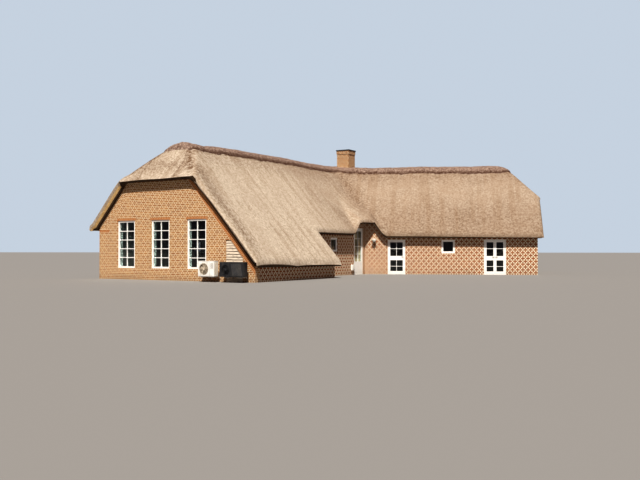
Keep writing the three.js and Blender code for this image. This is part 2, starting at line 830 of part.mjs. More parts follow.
// Small white service box beside the entrance door.
const serviceBox = addMesh("service_box", solid(box(0, 280, -90, -GAP, 0, 340)), whiteSteel);
const serviceAt = westPoint(HALF_NOOK, 4540);
serviceBox.position.set(serviceAt[0], serviceAt[1], 255);
serviceBox.rotation.z = Math.PI / 2 - WING_ANGLE;

// Outdoor heat pump units on steel brackets in front of the gable.
function heatPump(name, left, right, low, high, depth, arms, look) {
  const front = -WEST_LENGTH - 650;
  let body = solid(box(left, right, front, front + depth, low, high));
  for (const { at, wallGap } of arms) {
    const wallSide = -WEST_LENGTH - GAP - wallGap;
    body = body.add(solid(box(at - 20, at + 20, front + 40, wallSide, low - 40, low + 5)));
    body = body.add(solid(box(at - 20, at + 20, wallSide - 30, wallSide, low - 100, low + 280)));
  }
  const mesh = addMesh(name, body, look);
  mesh.rotation.z = -WING_ANGLE;
}

heatPump("heat_pump_white", 2890, 3810, 250, 953, 330, [{ at: 3050, wallGap: 0 }, { at: 3650, wallGap: 0 }], whiteSteel);
heatPump("heat_pump_black", 4112, 5390, 250, 909, 380, [{ at: 4400, wallGap: 5 }, { at: 5160, wallGap: 0 }], blackSteel);

export default house;
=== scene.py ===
import math

import bpy
import numpy as np
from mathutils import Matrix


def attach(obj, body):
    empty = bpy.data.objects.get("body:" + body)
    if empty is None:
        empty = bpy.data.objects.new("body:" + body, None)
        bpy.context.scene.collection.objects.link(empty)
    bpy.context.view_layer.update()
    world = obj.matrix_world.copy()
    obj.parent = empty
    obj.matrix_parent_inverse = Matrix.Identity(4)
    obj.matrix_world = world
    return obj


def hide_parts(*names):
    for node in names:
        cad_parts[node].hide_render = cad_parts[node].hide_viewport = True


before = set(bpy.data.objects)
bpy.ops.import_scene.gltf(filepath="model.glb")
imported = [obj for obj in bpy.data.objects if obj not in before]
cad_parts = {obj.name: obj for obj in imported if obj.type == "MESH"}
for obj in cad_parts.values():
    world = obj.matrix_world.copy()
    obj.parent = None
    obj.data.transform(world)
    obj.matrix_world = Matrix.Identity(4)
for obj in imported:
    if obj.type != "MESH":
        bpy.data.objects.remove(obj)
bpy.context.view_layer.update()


# Standpoint: a long look from the front, at eye height, turned a little to the left, so
# that the tall gable faces the viewer and the east wing runs off to the right.
eye = bpy.data.objects.new("eye", bpy.data.cameras.new("eye"))
eye.location = (7.452, -51.267, 1.478)
eye.rotation_euler = (math.radians(90.66), 0.0, math.radians(8.907))
eye.data.sensor_width = 36.0
eye.data.lens = 44.78
eye.data.clip_end = 400.0
bpy.context.scene.collection.objects.link(eye)
bpy.context.scene.camera = eye


# Studio: a wide grey floor and an even pale surround, lit by one high key light in front
# that throws a fairly sharp shadow.
def fill_inputs(tree, made, inputs):
    """Sets a node's inputs, by socket name or number, to constants or other nodes' sockets."""
    for key, value in inputs.items():
        if isinstance(value, bpy.types.NodeSocket):
            tree.links.new(value, made.inputs[key])
        else:
            made.inputs[key].default_value = value
    return made


def shader_node(tree, kind, inputs=None, **settings):
    """Adds a node with its settings, then fills its inputs."""
    made = tree.nodes.new(kind)
    for key, value in settings.items():
        setattr(made, key, value)
    return fill_inputs(tree, made, inputs or {})


def new_material(name):
    """A node material with its Principled shader: returns (material, tree, shader)."""
    made = bpy.data.materials.new(name)
    made.use_nodes = True
    return made, made.node_tree, made.node_tree.nodes["Principled BSDF"]


floor_material, tree, shader = new_material("studio_floor")
fill_inputs(tree, shader, {"Base Color": (0.27, 0.262, 0.25, 1.0), "Roughness": 0.95})
floor_mesh = bpy.data.meshes.new("studio_floor")
FLOOR_REACH, FLOOR_LEVEL = 300.0, -0.002
floor_mesh.from_pydata(
    [(x * FLOOR_REACH, y * FLOOR_REACH, FLOOR_LEVEL) for x, y in ((-1, -1), (1, -1), (1, 1), (-1, 1))],
    [],
    [(0, 1, 2, 3)],
)
floor_mesh.materials.append(floor_material)
studio_floor = bpy.data.objects.new("studio_floor", floor_mesh)
bpy.context.scene.collection.objects.link(studio_floor)

surround = bpy.data.worlds.new("surround")
surround.use_nodes = True
tree = surround.node_tree
backdrop = shader_node(tree, "ShaderNodeBackground", {"Color": (0.70, 0.78, 0.88, 1.0), "Strength": 0.62})
seen = shader_node(tree, "ShaderNodeLightPath").outputs["Is Camera Ray"]
glow = fill_inputs(tree, tree.nodes["Background"], {"Color": (0.96, 0.82, 1.0, 1.0), "Strength": 0.115})
both = shader_node(tree, "ShaderNodeMixShader", {0: seen, 1: glow.outputs[0], 2: backdrop.outputs[0]})
tree.links.new(both.outputs[0], tree.nodes["World Output"].inputs["Surface"])
bpy.context.scene.world = surround
bpy.context.scene.view_settings.view_transform = "Standard"
bpy.context.scene.view_settings.look = "High Contrast"

key_light = bpy.data.objects.new("key_light", bpy.data.lights.new("key_light", "SUN"))
key_light.data.energy = 4.1
key_light.data.angle = math.radians(1.5)
key_light.data.color = (1.0, 0.955, 0.89)
key_light.rotation_euler = (math.radians(34.5), 0.0, math.radians(5.5))
bpy.context.scene.collection.objects.link(key_light)


# Brickwork: large orange facing bricks, 272 x 127 x 66 mm, in cross bond: header courses
# between stretcher courses that shift by half a brick. Pale lime is smeared over the brick
# ends, so that the upright joints step into a white diagonal lattice.
COURSE = 0.082
HEADER = 0.145
STRETCHER = 2 * HEADER
BED, UPRIGHT = 0.016, 0.018
SMEAR_REACH = 0.045
WING = math.radians(21.9)


def shader_group(name, inputs, outputs):
    """A shader node group with named float or vector sockets."""
    made = bpy.data.node_groups.new(name, "ShaderNodeTree")
    kinds = {"f": "NodeSocketFloat", "v": "NodeSocketVector"}
    for label, (kind, value) in inputs.items():
        socket = made.interface.new_socket(label, in_out="INPUT", socket_type=kinds[kind])
        socket.default_value = value
    for label, kind in outputs.items():
        made.interface.new_socket(label, in_out="OUTPUT", socket_type=kinds[kind])
    return made, made.nodes.new("NodeGroupInput"), made.nodes.new("NodeGroupOutput")


def place_group(tree, made, inputs=None):
    """Places a node group in a tree with its own values."""
    return shader_node(tree, "ShaderNodeGroup", inputs, node_tree=made)


def calc(tree, operation, a, b=0.0, c=0.0):
    """One arithmetic step on sockets or numbers; returns the result's socket."""
    return shader_node(tree, "ShaderNodeMath", {0: a, 1: b, 2: c}, operation=operation).outputs[0]


def least(tree, *values):
    """Smallest of several numbers."""
    found = values[0]
    for value in values[1:]:
        found = calc(tree, "MINIMUM", found, value)
    return found


def ramp(tree, value, low, high, start=0.0, end=1.0):
    """A smooth step of value from low to high, going from start to end."""
    return shader_node(
        tree,
        "ShaderNodeMapRange",
        {0: value, 1: low, 2: high, 3: start, 4: end},
        interpolation_type="SMOOTHSTEP",
    ).outputs[0]


def mixed(tree, factor, a, b, blend="MIX"):
    """Mix of two colours by a factor."""
    return shader_node(
        tree, "ShaderNodeMix", {0: factor, 6: a, 7: b}, data_type="RGBA", blend_type=blend
    ).outputs[2]


def noise(tree, vector, scale, detail=3.0, rough=0.5, dims="3D"):
    """Fractal noise value around 0.5 at a vector."""
    return shader_node(
        tree,
        "ShaderNodeTexNoise",
        {"Vector": vector, "Scale": scale, "Detail": detail, "Roughness": rough},
        noise_dimensions=dims,
    ).outputs[0]


def relief(tree, height, distance, strength=1.0):
    """Normal of a surface that rises by distance, in metres, where height rises by 1."""
    return shader_node(
        tree, "ShaderNodeBump", {"Height": height, "Distance": distance, "Strength": strength}
    ).outputs[0]


def towards(tree, vector, direction):
    """Distance of a position along a fixed direction."""
    return shader_node(
        tree, "ShaderNodeVectorMath", {0: vector, 1: direction}, operation="DOT_PRODUCT"
    ).outputs["Value"]


def own_place(tree):
    """Position in the piece's own frame, in metres."""
    return shader_node(tree, "ShaderNodeTexCoord").outputs["Object"]


def height_of(tree, vector):
    """Height of a place above the ground."""
    return shader_node(tree, "ShaderNodeSeparateXYZ", {0: vector}).outputs[2]


cross_bond, entry, leave = shader_group(
    "cross_bond",
    {"Along": ("f", 0.0), "Up": ("f", 0.0), "Bed": ("f", BED), "Upright": ("f", UPRIGHT)},
    {"Brick": "f", "Pick": "f", "Edge": "f", "Smear": "f"},
)
course = calc(cross_bond, "DIVIDE", entry.outputs["Up"], COURSE)
row = calc(cross_bond, "FLOOR", course)
even = calc(cross_bond, "FLOORED_MODULO", row, 2.0)
pair = calc(cross_bond, "FLOOR", calc(cross_bond, "DIVIDE", row, 2.0))
quarter = calc(cross_bond, "FLOORED_MODULO", pair, 2.0)
pitch = calc(cross_bond, "MULTIPLY_ADD", even, STRETCHER - HEADER, HEADER)
header_shift = calc(cross_bond, "MULTIPLY", calc(cross_bond, "SUBTRACT", 1.0, even), HEADER / 2)
shift = calc(cross_bond, "MULTIPLY_ADD", calc(cross_bond, "MULTIPLY", even, quarter), HEADER, header_shift)
length = calc(cross_bond, "DIVIDE", calc(cross_bond, "SUBTRACT", entry.outputs["Along"], shift), pitch)
number = calc(cross_bond, "FLOOR", length)
side = calc(cross_bond, "ABSOLUTE", calc(cross_bond, "SUBTRACT", calc(cross_bond, "FRACT", length), 0.5))
across = calc(cross_bond, "MULTIPLY", calc(cross_bond, "SUBTRACT", 0.5, side), pitch)
rise = calc(cross_bond, "ABSOLUTE", calc(cross_bond, "SUBTRACT", calc(cross_bond, "FRACT", course), 0.5))
upward = calc(cross_bond, "MULTIPLY", calc(cross_bond, "SUBTRACT", 0.5, rise), COURSE)
from_upright = calc(cross_bond, "MULTIPLY_ADD", entry.outputs["Upright"], -0.5, across)
from_bed = calc(cross_bond, "MULTIPLY_ADD", entry.outputs["Bed"], -0.5, upward)
edge = calc(cross_bond, "MINIMUM", from_upright, from_bed)
place = shader_node(cross_bond, "ShaderNodeCombineXYZ", {0: number, 1: row, 2: 3.7}).outputs[0]
pick = shader_node(
    cross_bond, "ShaderNodeTexWhiteNoise", {"Vector": place}, noise_dimensions="3D"
).outputs[0]
cross_bond.links.new(ramp(cross_bond, edge, -0.0015, 0.0015), leave.inputs["Brick"])
cross_bond.links.new(pick, leave.inputs["Pick"])
cross_bond.links.new(ramp(cross_bond, edge, -0.002, 0.006), leave.inputs["Edge"])
smear = ramp(cross_bond, from_upright, 0.0, SMEAR_REACH, 1.0, 0.0)
cross_bond.links.new(smear, leave.inputs["Smear"])

# Distance along any upright wall, whichever way it faces, and height above the ground. A
# hair is added to the direction, so that it has a length on level faces too.
wall_place, entry, leave = shader_group("wall_place", {}, {"Along": "f", "Up": "f"})
here = own_place(wall_place)
facing = shader_node(wall_place, "ShaderNodeNewGeometry").outputs["True Normal"]
level = shader_node(
    wall_place, "ShaderNodeVectorMath", {0: (0.0, 0.0, 1.0), 1: facing}, operation="CROSS_PRODUCT"
).outputs[0]
level = shader_node(
    wall_place, "ShaderNodeVectorMath", {0: level, 1: (0.0001, 0.0, 0.0)}, operation="ADD"
).outputs[0]
level = shader_node(wall_place, "ShaderNodeVectorMath", {0: level}, operation="NORMALIZE").outputs[0]
along = shader_node(
    wall_place, "ShaderNodeVectorMath", {0: here, 1: level}, operation="DOT_PRODUCT"
).outputs["Value"]
wall_place.links.new(along, leave.inputs["Along"])
up = height_of(wall_place, here)
wall_place.links.new(up, leave.inputs["Up"])

# Depth behind the walls' outer faces, and distances across and along the west wing.
ACROSS = (math.cos(WING), -math.sin(WING), 0.0)
ALONG = (-math.sin(WING), -math.cos(WING), 0.0)
BACK_FACE, NOOK_FACE, FRONT_FACE, SHED_FACE = 3.97, 4.11, 4.20, 5.60
GABLE_FACE, EAST_FACE, SHED_START = 16.10, 12.72, 9.03
PAST_CROSSING, PAST_MITRE = 3.5, 0.9
indoors, entry, leave = shader_group("indoors", {}, {"Depth": "f", "Across": "f", "Along": "f"})
here = own_place(indoors)
plan_x, plan_y = shader_node(indoors, "ShaderNodeSeparateXYZ", {0: here}).outputs[:2]
across_wing, along_wing = towards(indoors, here, ACROSS), towards(indoors, here, ALONG)
behind_shed = least(
    indoors,
    calc(indoors, "SUBTRACT", SHED_FACE, across_wing), calc(indoors, "SUBTRACT", along_wing, SHED_START),
)
behind_west = calc(indoors, "ADD", across_wing, BACK_FACE)
behind_back = calc(indoors, "SUBTRACT", BACK_FACE, plan_y)
past_mitre = calc(indoors, "ADD", across_wing, plan_y)
in_west = least(
    indoors,
    calc(indoors, "MAXIMUM", calc(indoors, "SUBTRACT", NOOK_FACE, across_wing), behind_shed),
    behind_west,
    calc(indoors, "SUBTRACT", GABLE_FACE, along_wing),
    calc(indoors, "ADD", along_wing, PAST_CROSSING),
    calc(indoors, "SUBTRACT", PAST_MITRE, past_mitre),
)
in_east = least(
    indoors,
    calc(indoors, "SUBTRACT", EAST_FACE, plan_x),
    behind_back,
    calc(indoors, "ADD", plan_y, FRONT_FACE),
    calc(indoors, "ADD", plan_x, PAST_CROSSING),
    calc(indoors, "ADD", past_mitre, PAST_MITRE),
)
depth = least(indoors, calc(indoors, "MAXIMUM", in_west, in_east), behind_west, behind_back)
fill_inputs(indoors, leave, {"Depth": depth, "Across": across_wing, "Along": along_wing})

BRICK_TONES = (
    (0.00, (0.26, 0.097, 0.034, 1.0)),
    (0.28, (0.31, 0.120, 0.040, 1.0)),
    (0.60, (0.35, 0.142, 0.047, 1.0)),
    (0.86, (0.39, 0.17, 0.060, 1.0)),
    (1.00, (0.45, 0.225, 0.09, 1.0)),
)
LIME = (0.84, 0.75, 0.54, 1.0)
OLD_LIME = (0.80, 0.70, 0.50, 1.0)
STAINED, SOOTY, DAMP = (0.33, 0.20, 0.12, 1.0), (0.25, 0.15, 0.10, 1.0), (0.24, 0.17, 0.11, 1.0)
PLASTER, PALE_PLASTER = (0.66, 0.67, 0.63, 1.0), (0.74, 0.74, 0.70, 1.0)
SOOT_LOW, SOOT_FULL = 6.4, 7.9
DAMP_TOP, PLASTER_TOP = 0.45, 6.3
PLASTER_LOW, PLASTER_FULL = 0.128, 0.132


def tone_ramp(tree, value, tones):
    """Colour ramp through (place, colour) stops."""
    made = shader_node(tree, "ShaderNodeValToRGB", {0: value})
    stops = made.color_ramp.elements
    while len(stops) < len(tones):
        stops.new(0.5)
    for stop, (place_on, colour) in zip(stops, tones):
        stop.position = place_on
        stop.color = colour
    return made.outputs[0]


def lay_bricks(tree, shader, here, along, up, smear, fired, whiting, clayed=0.5):
    """Bond, a tone for each brick, firing clouds, lime joints and smears, soot and a damp
    foot, and white plaster on everything that lies behind the window frames. Smear is how
    much whiting lies on the brick ends, and clayed the share of clay in the joints."""
    sway = calc(tree, "MULTIPLY_ADD", noise(tree, here, 2.3, 1.0), 0.012, -0.006)
    bond = place_group(tree, cross_bond, {
        "Along": calc(tree, "ADD", along, sway), "Up": calc(tree, "MULTIPLY_ADD", sway, 0.6, up),
    })
    cloud = noise(tree, here, 1.1, 4.0, 0.6)
    grain = noise(tree, here, 95.0, 3.0, 0.6)
    clouded = calc(tree, "MULTIPLY_ADD", cloud, 0.4, -0.12)
    pick = calc(tree, "MULTIPLY_ADD", bond.outputs["Pick"], 0.75, clouded)
    clay = tone_ramp(tree, calc(tree, "MULTIPLY_ADD", grain, 0.08, pick), BRICK_TONES)
    clay = mixed(tree, 1.0, clay, fired, "MULTIPLY")
    lime = mixed(tree, ramp(tree, grain, 0.35, 0.7), OLD_LIME, LIME)
    smeared = calc(tree, "MULTIPLY", bond.outputs["Smear"], smear)
    worn = ramp(tree, noise(tree, here, 13.0, 3.0), 0.30, 0.55, 0.75, 1.0)
    clay = mixed(tree, calc(tree, "MULTIPLY", smeared, worn), clay, whiting)
    laid = mixed(tree, bond.outputs["Brick"], mixed(tree, clayed, lime, clay), clay)
    level = height_of(tree, here)
    stain = ramp(tree, noise(tree, here, 0.55, 5.0, 0.65), 0.50, 0.78, 0.0, 0.14)
    laid = mixed(tree, stain, laid, STAINED)
    laid = mixed(tree, ramp(tree, level, SOOT_LOW, SOOT_FULL, 0.0, 0.22), laid, SOOTY)
    damp = calc(tree, "MULTIPLY", ramp(tree, level, DAMP_TOP, 0.0), ramp(tree, cloud, 0.3, 0.7, 0.1, 0.45))
    laid = mixed(tree, damp, laid, DAMP)
    plastered = calc(
        tree, "MULTIPLY",
        ramp(tree, place_group(tree, indoors).outputs["Depth"], PLASTER_LOW, PLASTER_FULL),
        calc(tree, "LESS_THAN", level, PLASTER_TOP),
    )
    plaster = mixed(tree, ramp(tree, cloud, 0.3, 0.7), PLASTER, PALE_PLASTER)
    proud = calc(tree, "MULTIPLY", bond.outputs["Edge"], calc(tree, "SUBTRACT", 1.0, plastered))
    fill_inputs(tree, shader, {
        "Base Color": mixed(tree, plastered, laid, plaster),
        "Roughness": ramp(tree, grain, 0.2, 0.8, 0.82, 0.97),
        "Normal": relief(tree, calc(tree, "MULTIPLY_ADD", grain, 0.12, proud), 0.002, 0.3),
    })


brickwork, tree, shader = new_material("brickwork")
wall = place_group(tree, wall_place)
lay_bricks(
    tree, shader, own_place(tree), wall.outputs["Along"], wall.outputs["Up"], 1.0,
    (0.84, 0.66, 0.59, 1.0), (0.86, 0.80, 0.64, 1.0),
)


def finish_node(name, material):
    """Gives a carried-over solid its finish."""
    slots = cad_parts[name].data.materials
    slots.clear()
    slots.append(material)


for name in (
    "west_wall", "shed_wall", "shed_end_wall", "entrance_wall", "entrance_lintel", "corner_wall",
    "terrace_lintel", "front_wall", "french_door_lintel", "front_end_wall", "east_gable_wall",
    "back_wall",
):
    finish_node(name, brickwork)


# Gable and chimney: the same bricks with less smear. Bands laid square to both verges close
# the gable's cut courses under the thatch and a standing course closes each window head. The
# right band, the heads and a strip at the foot of the left verge are plain, warmer brick.
LEFT_BAND, RIGHT_BAND = 0.36, 0.24
LINING_APEX = 7.09
PITCH = 1.14
SLANT = math.hypot(1.0, PITCH)
WINDOW_LEFTS = (-2.71, -0.50, 1.715)
WINDOW_WIDTH, WINDOW_SILL, WINDOW_HEIGHT = 1.14, 0.555, 2.32
HEAD_LOW = WINDOW_SILL + WINDOW_HEIGHT
HEAD_BEARING, HEAD_COURSE = 0.06, 0.115
BAND_FOOT = 2.47
KNEELER_LOW, KNEELER_HIGH, KNEELER_RIGHT = 2.31, 2.447, -3.28
FACE_SLACK = 0.04
WARM_BRICK = (0.46, 0.17, 0.045, 1.0)
gable_brickwork, tree, shader = new_material("gable_brickwork")
here = own_place(tree)
wall = place_group(tree, wall_place)
within = place_group(tree, indoors)
up = wall.outputs["Up"]
across = within.outputs["Across"]


def between(tree, value, low, high):
    """1 where low < value < high, otherwise 0."""
    over = calc(tree, "GREATER_THAN", value, low)
    return calc(tree, "MULTIPLY", over, calc(tree, "LESS_THAN", value, high))


def chosen(tree, factor, a, b):
    """a where factor is 0 and b where it is 1, for numbers."""
    return calc(tree, "MULTIPLY_ADD", factor, calc(tree, "SUBTRACT", b, a), a)


climb = calc(tree, "MULTIPLY_ADD", up, -1.0, LINING_APEX)
left_depth = calc(tree, "DIVIDE", calc(tree, "MULTIPLY_ADD", across, PITCH, climb), SLANT)
right_depth = calc(tree, "DIVIDE", calc(tree, "MULTIPLY_ADD", across, -PITCH, climb), SLANT)
up_left = calc(tree, "DIVIDE", calc(tree, "MULTIPLY_ADD", up, PITCH, across), SLANT)
up_right = calc(tree, "DIVIDE", calc(tree, "SUBTRACT", calc(tree, "MULTIPLY", up, PITCH), across), SLANT)
on_face = calc(tree, "GREATER_THAN", within.outputs["Along"], GABLE_FACE - FACE_SLACK)
in_left = calc(tree, "MULTIPLY", calc(tree, "LESS_THAN", left_depth, LEFT_BAND), on_face)
in_left = calc(tree, "MULTIPLY", in_left, calc(tree, "GREATER_THAN", up, BAND_FOOT))
in_right = calc(tree, "MULTIPLY", calc(tree, "LESS_THAN", right_depth, RIGHT_BAND), on_face)
over_window = 0.0
for left in WINDOW_LEFTS:
    spread = between(tree, across, left - HEAD_BEARING, left + WINDOW_WIDTH + HEAD_BEARING)
    spread = calc(tree, "MULTIPLY", spread, between(tree, up, HEAD_LOW - 0.02, HEAD_LOW + HEAD_COURSE))
    over_window = calc(tree, "MAXIMUM", over_window, calc(tree, "MULTIPLY", spread, on_face))
kneeler = calc(
    tree, "MULTIPLY",
    between(tree, up, KNEELER_LOW, KNEELER_HIGH), calc(tree, "LESS_THAN", across, KNEELER_RIGHT),
)
banded = calc(tree, "MAXIMUM", calc(tree, "MAXIMUM", kneeler, in_right), over_window)
bond_along = chosen(tree, in_left, wall.outputs["Along"], left_depth)
bond_along = chosen(tree, in_right, bond_along, right_depth)
bond_along = chosen(tree, over_window, bond_along, calc(tree, "SUBTRACT", up, HEAD_LOW - 0.005))
bond_up = chosen(tree, in_left, up, up_left)
bond_up = chosen(tree, in_right, bond_up, up_right)
bond_up = chosen(tree, over_window, bond_up, across)
lay_bricks(
    tree, shader, here, bond_along, bond_up, chosen(tree, banded, 0.3, 0.0),
    (1.16, 1.37, 1.56, 1.0), LIME, clayed=0.1,
)
plain_tone = shader.inputs["Base Color"].links[0].from_socket
warm = mixed(tree, calc(tree, "MULTIPLY", banded, 0.6), plain_tone, WARM_BRICK)
tree.links.new(warm, shader.inputs["Base Color"])
finish_node("gable_wall", gable_brickwork)
finish_node("chimney_stack", gable_brickwork)


# Floor slab: concrete cast on the ground inside the walls, trowelled smooth and a little
# blotchy; it shows through the open doors.
slab_concrete, tree, shader = new_material("slab_concrete")
here = own_place(tree)
blotch = noise(tree, here, 2.2, 6.0, 0.6)
fill_inputs(tree, shader, {
    "Base Color": mixed(
        tree, ramp(tree, blotch, 0.3, 0.7), (0.20, 0.19, 0.175, 1.0), (0.30, 0.29, 0.265, 1.0)
    ),
    "Roughness": 0.8,
    "Normal": relief(tree, noise(tree, here, 40.0, 4.0), 0.002),
})
finish_node("floor_slab", slab_concrete)


# Thatch: water reed laid 0.34 m thick over both wings in one soft skin. It has half-hips on
# both gables, a catslide beside the west gable, a swept valley in the corner and an eave
# that is raised over the entrance. Eaves and verges are cut back under their outer edge.
APEX = 7.60
WEST_END, EAST_END = 16.33, 13.03
WEST_HIP_EDGE, EAST_HIP_EDGE = 16.43, 13.08
LEFT_EAVE, NOOK_EAVE, FRONT_EAVE, SHED_EAVE = 4.37, 4.49, 4.58, 5.85
SHED_STEP = 8.825
BACK_CORNER, NOOK_CORNER, FRONT_CORNER = 2.955, 4.125, 3.376
FLARE, FLARE_START = 0.09, 14.8
RIDGE_LEVEL, WEST_HIP_LEVEL, EAST_HIP_LEVEL = 6.70, 4.81, 4.55
COLLAR, LEFT_SOFFIT, NOOK_SOFFIT, FRONT_SOFFIT, SHED_SOFFIT = 6.25, 2.468, 2.331, 2.229, 0.706
SLOPE_PER_DROP = 1.33


def wing_plan(u, t):
    """Plan point at distance u across (nook side positive) and t along the west wing."""
    c, s = math.cos(WING), math.sin(WING)
    return np.stack(np.broadcast_arrays(u * c - t * s, -u * s - t * c), -1)


def across_along(x, y):
    """Distances across and along the west wing of a plan point."""
    c, s = math.cos(WING), math.sin(WING)
    return x * c - y * s, -x * s - y * c


def soft_min(a, b, k):
    """Least of two surfaces with a fillet about k wide where they meet."""
    h = np.clip(0.5 + 0.5 * (b - a) / k, 0.0, 1.0)
    return b + (a - b) * h - k * h * (1.0 - h)


def soft_max(a, b, k):
    """Greatest of two surfaces with a fillet about k wide where they meet."""
    return -soft_min(-a, -b, k)


def smooth_step(low, high, value):
    """0 below low, 1 above high, with level ends between."""
    s = np.clip((value - low) / (high - low), 0.0, 1.0)
    return s * s * (3.0 - 2.0 * s)


def slopes(x, y, apex, valley, hip):
    """Four slope planes falling at PITCH from the two ridge lines: the left and back ones
    meet in a hip, the nook and front ones in a valley, and each pair meets at the ridge."""
    u = across_along(x, y)[0]
    outer = soft_min(apex + PITCH * u, apex - PITCH * y, hip)
    inner = soft_max(apex - PITCH * u, apex + PITCH * y, valley)
    return outer, inner


draws = np.random.default_rng(11)
SWELLS = [
    (draws.uniform(0.5, 3.6), draws.uniform(0, math.tau), draws.uniform(0, math.tau))
    for _ in range(26)
]


def swell(x, y):
    """Hand-dressed unevenness: sum of 26 low waves in many directions, height about 1."""
    total = np.zeros_like(x)
    for rate, way, phase in SWELLS:
        total += np.sin(rate * (x * math.cos(way) + y * math.sin(way)) + phase) / (0.6 + rate)
    return total / 3.0


def thatch_top(x, y):
    """Outer surface: the slopes under a rounded crown, cut by two hip planes whose fillets
    tighten towards their eaves, and raised over the entrance by a plane that climbs 0.62
    inwards between two steep shoulders."""
    u, t = across_along(x, y)
    outer, inner = slopes(x, y, APEX, 0.75, 0.9)
    roof = np.minimum(outer, inner)
    ridge_level = RIDGE_LEVEL + 0.015 * smooth_step(3.0, 8.0, t) - 0.115 * smooth_step(0.0, 3.0, x)
    ridge_level = ridge_level - 0.08 * smooth_step(10.2, 11.4, x) - 0.12 * smooth_step(12.0, 13.6, t)
    crown = ridge_level - 0.24 * np.minimum((APEX - roof) / PITCH, 1.6) ** 2
    fillet = 0.08 + 0.22 * (u < 0) + smooth_step(4.9, 5.3, roof) * smooth_step(0.3, 0.9, np.abs(u)) * 0.30
    rolled = 0.075 * smooth_step(0.8, 1.7, -u) * np.exp(-(((16.45 - t) / 0.9) ** 2))
    roof = soft_min(roof, crown, 0.30) + rolled
    roof = soft_min(roof, WEST_HIP_LEVEL + 0.013 * u + (WEST_HIP_EDGE - t), fillet)
    roof = soft_min(roof, EAST_HIP_LEVEL + (EAST_HIP_EDGE - x) * 1.06, 0.35)
    out = 0.775 * x - 0.632 * y
    raised = soft_min(3.17 + 0.62 * (5.534 - out), 2.44 + 1.70 * (4.64 - t), 0.60)
    raised = soft_min(raised, 2.34 + 1.48 * (3.98 - x), 0.20)
    lifted = soft_max(roof, raised, 0.35)
    roof = np.where((out > 1.5) & (u > 0.5) & (y < -0.5), lifted, roof)
    settled = 0.03 - 0.10 * smooth_step(4.0, 13.0, x)
    settled = settled * smooth_step(-3.4, -2.3, -roof)
    return roof + settled + 0.028 * swell(x, y) * smooth_step(2.3, 3.4, roof)


def thatch_under(x, y):
    """Inner surface: the lining planes under a level collar, level soffits at the eaves and
    half-hips, and the boxed-out space over the entrance."""
    u, t = across_along(x, y)
    outer, inner = slopes(x, y, LINING_APEX, 0.05, 0.05)
    roof = np.minimum(np.minimum(outer, inner), COLLAR)
    roof = np.minimum(roof, np.maximum(4.76, 4.48 + (WEST_HIP_EDGE - t)))
    roof = np.minimum(roof, np.maximum(4.47, 4.19 + (EAST_HIP_EDGE - x) * PITCH))
    nook_level = np.where(t > SHED_STEP - 0.001, SHED_SOFFIT, NOOK_SOFFIT)
    in_west = -PITCH * u > PITCH * y
    level = np.where(outer < inner, LEFT_SOFFIT, np.where(in_west, nook_level, FRONT_SOFFIT))
    roof = np.maximum(roof, level)
    space = np.minimum(np.minimum(3.05, 2.25 + 0.97 * (4.95 - t)), 2.15 + 1.398 * (4.02 - x))
    return np.where((u > 3.74) & (y < -3.83), np.maximum(roof, space), roof)


def stations(*spans):
    """Even steps through (start, end, step) spans, without doubling their ends."""
    parts = [
        np.linspace(a, b, max(2, round(abs(b - a) / step)), endpoint=False) for a, b, step in spans
    ]
    return np.concatenate(parts + [[spans[-1][1]]])


# Columns run along the ridge, west negative; rows run from the left or back eave over the
# ridge to the nook or front eave, and on down the catslide west of its end.
columns = stations(
    (-WEST_END, -15.9, 0.055), (-15.9, -SHED_STEP, 0.12), (-SHED_STEP, -6.2, 0.12),
    (-6.2, 5.6, 0.11), (5.6, 12.6, 0.12), (12.6, EAST_END, 0.055),
)
step_column = int(np.argmin(np.abs(columns + SHED_STEP)))
rise = np.concatenate([np.linspace(0, 0.955, 40), [0.968, 0.98, 0.99, 1.0]])
tail = np.concatenate([np.linspace(0, 0.9, 12)[1:], [0.93, 0.955, 0.98, 1.0]])

corner_back = wing_plan(-LEFT_EAVE, -BACK_CORNER)
left_marks = np.array([
    [-WEST_END, *wing_plan(-LEFT_EAVE, WEST_END)], [-6.0, *wing_plan(-LEFT_EAVE, 6.0)],
    [0.0, *corner_back], [6.0, 6.0, LEFT_EAVE], [EAST_END, EAST_END, LEFT_EAVE],
])
nook_marks = np.array([
    [-WEST_END, *wing_plan(NOOK_EAVE, WEST_END)], [-6.2, *wing_plan(NOOK_EAVE, 6.2)],
    [-1.9, *wing_plan(NOOK_EAVE, NOOK_CORNER)], [1.7, FRONT_CORNER, -FRONT_EAVE],
    [5.6, 5.6, -FRONT_EAVE], [EAST_END, EAST_END, -FRONT_EAVE],
])
ridge_marks = np.array([[-WEST_END, *wing_plan(0.0, WEST_END)], [0.0, 0.0, 0.0], [EAST_END, EAST_END, 0.0]])


def along_marks(marks, spread):
    """Plan points at every column between marks, their corners averaged over spread columns."""
    points = np.stack([np.interp(columns, marks[:, 0], marks[:, k]) for k in (1, 2)], -1)
    kernel = np.hanning(spread + 2)[1:-1]
    kernel /= kernel.sum()
    half = spread // 2
    soft = points.copy()
    for k in (0, 1):
        soft[half:-half, k] = np.convolve(points[:, k], kernel, "valid")
    keep = (columns > -8.0) & (columns < 8.0)
    return np.where(keep[:, None], soft, points)


left_edge = along_marks(left_marks, 9)
nook_edge = along_marks(nook_marks, 7)
ridge_line = along_marks(ridge_marks, 7)


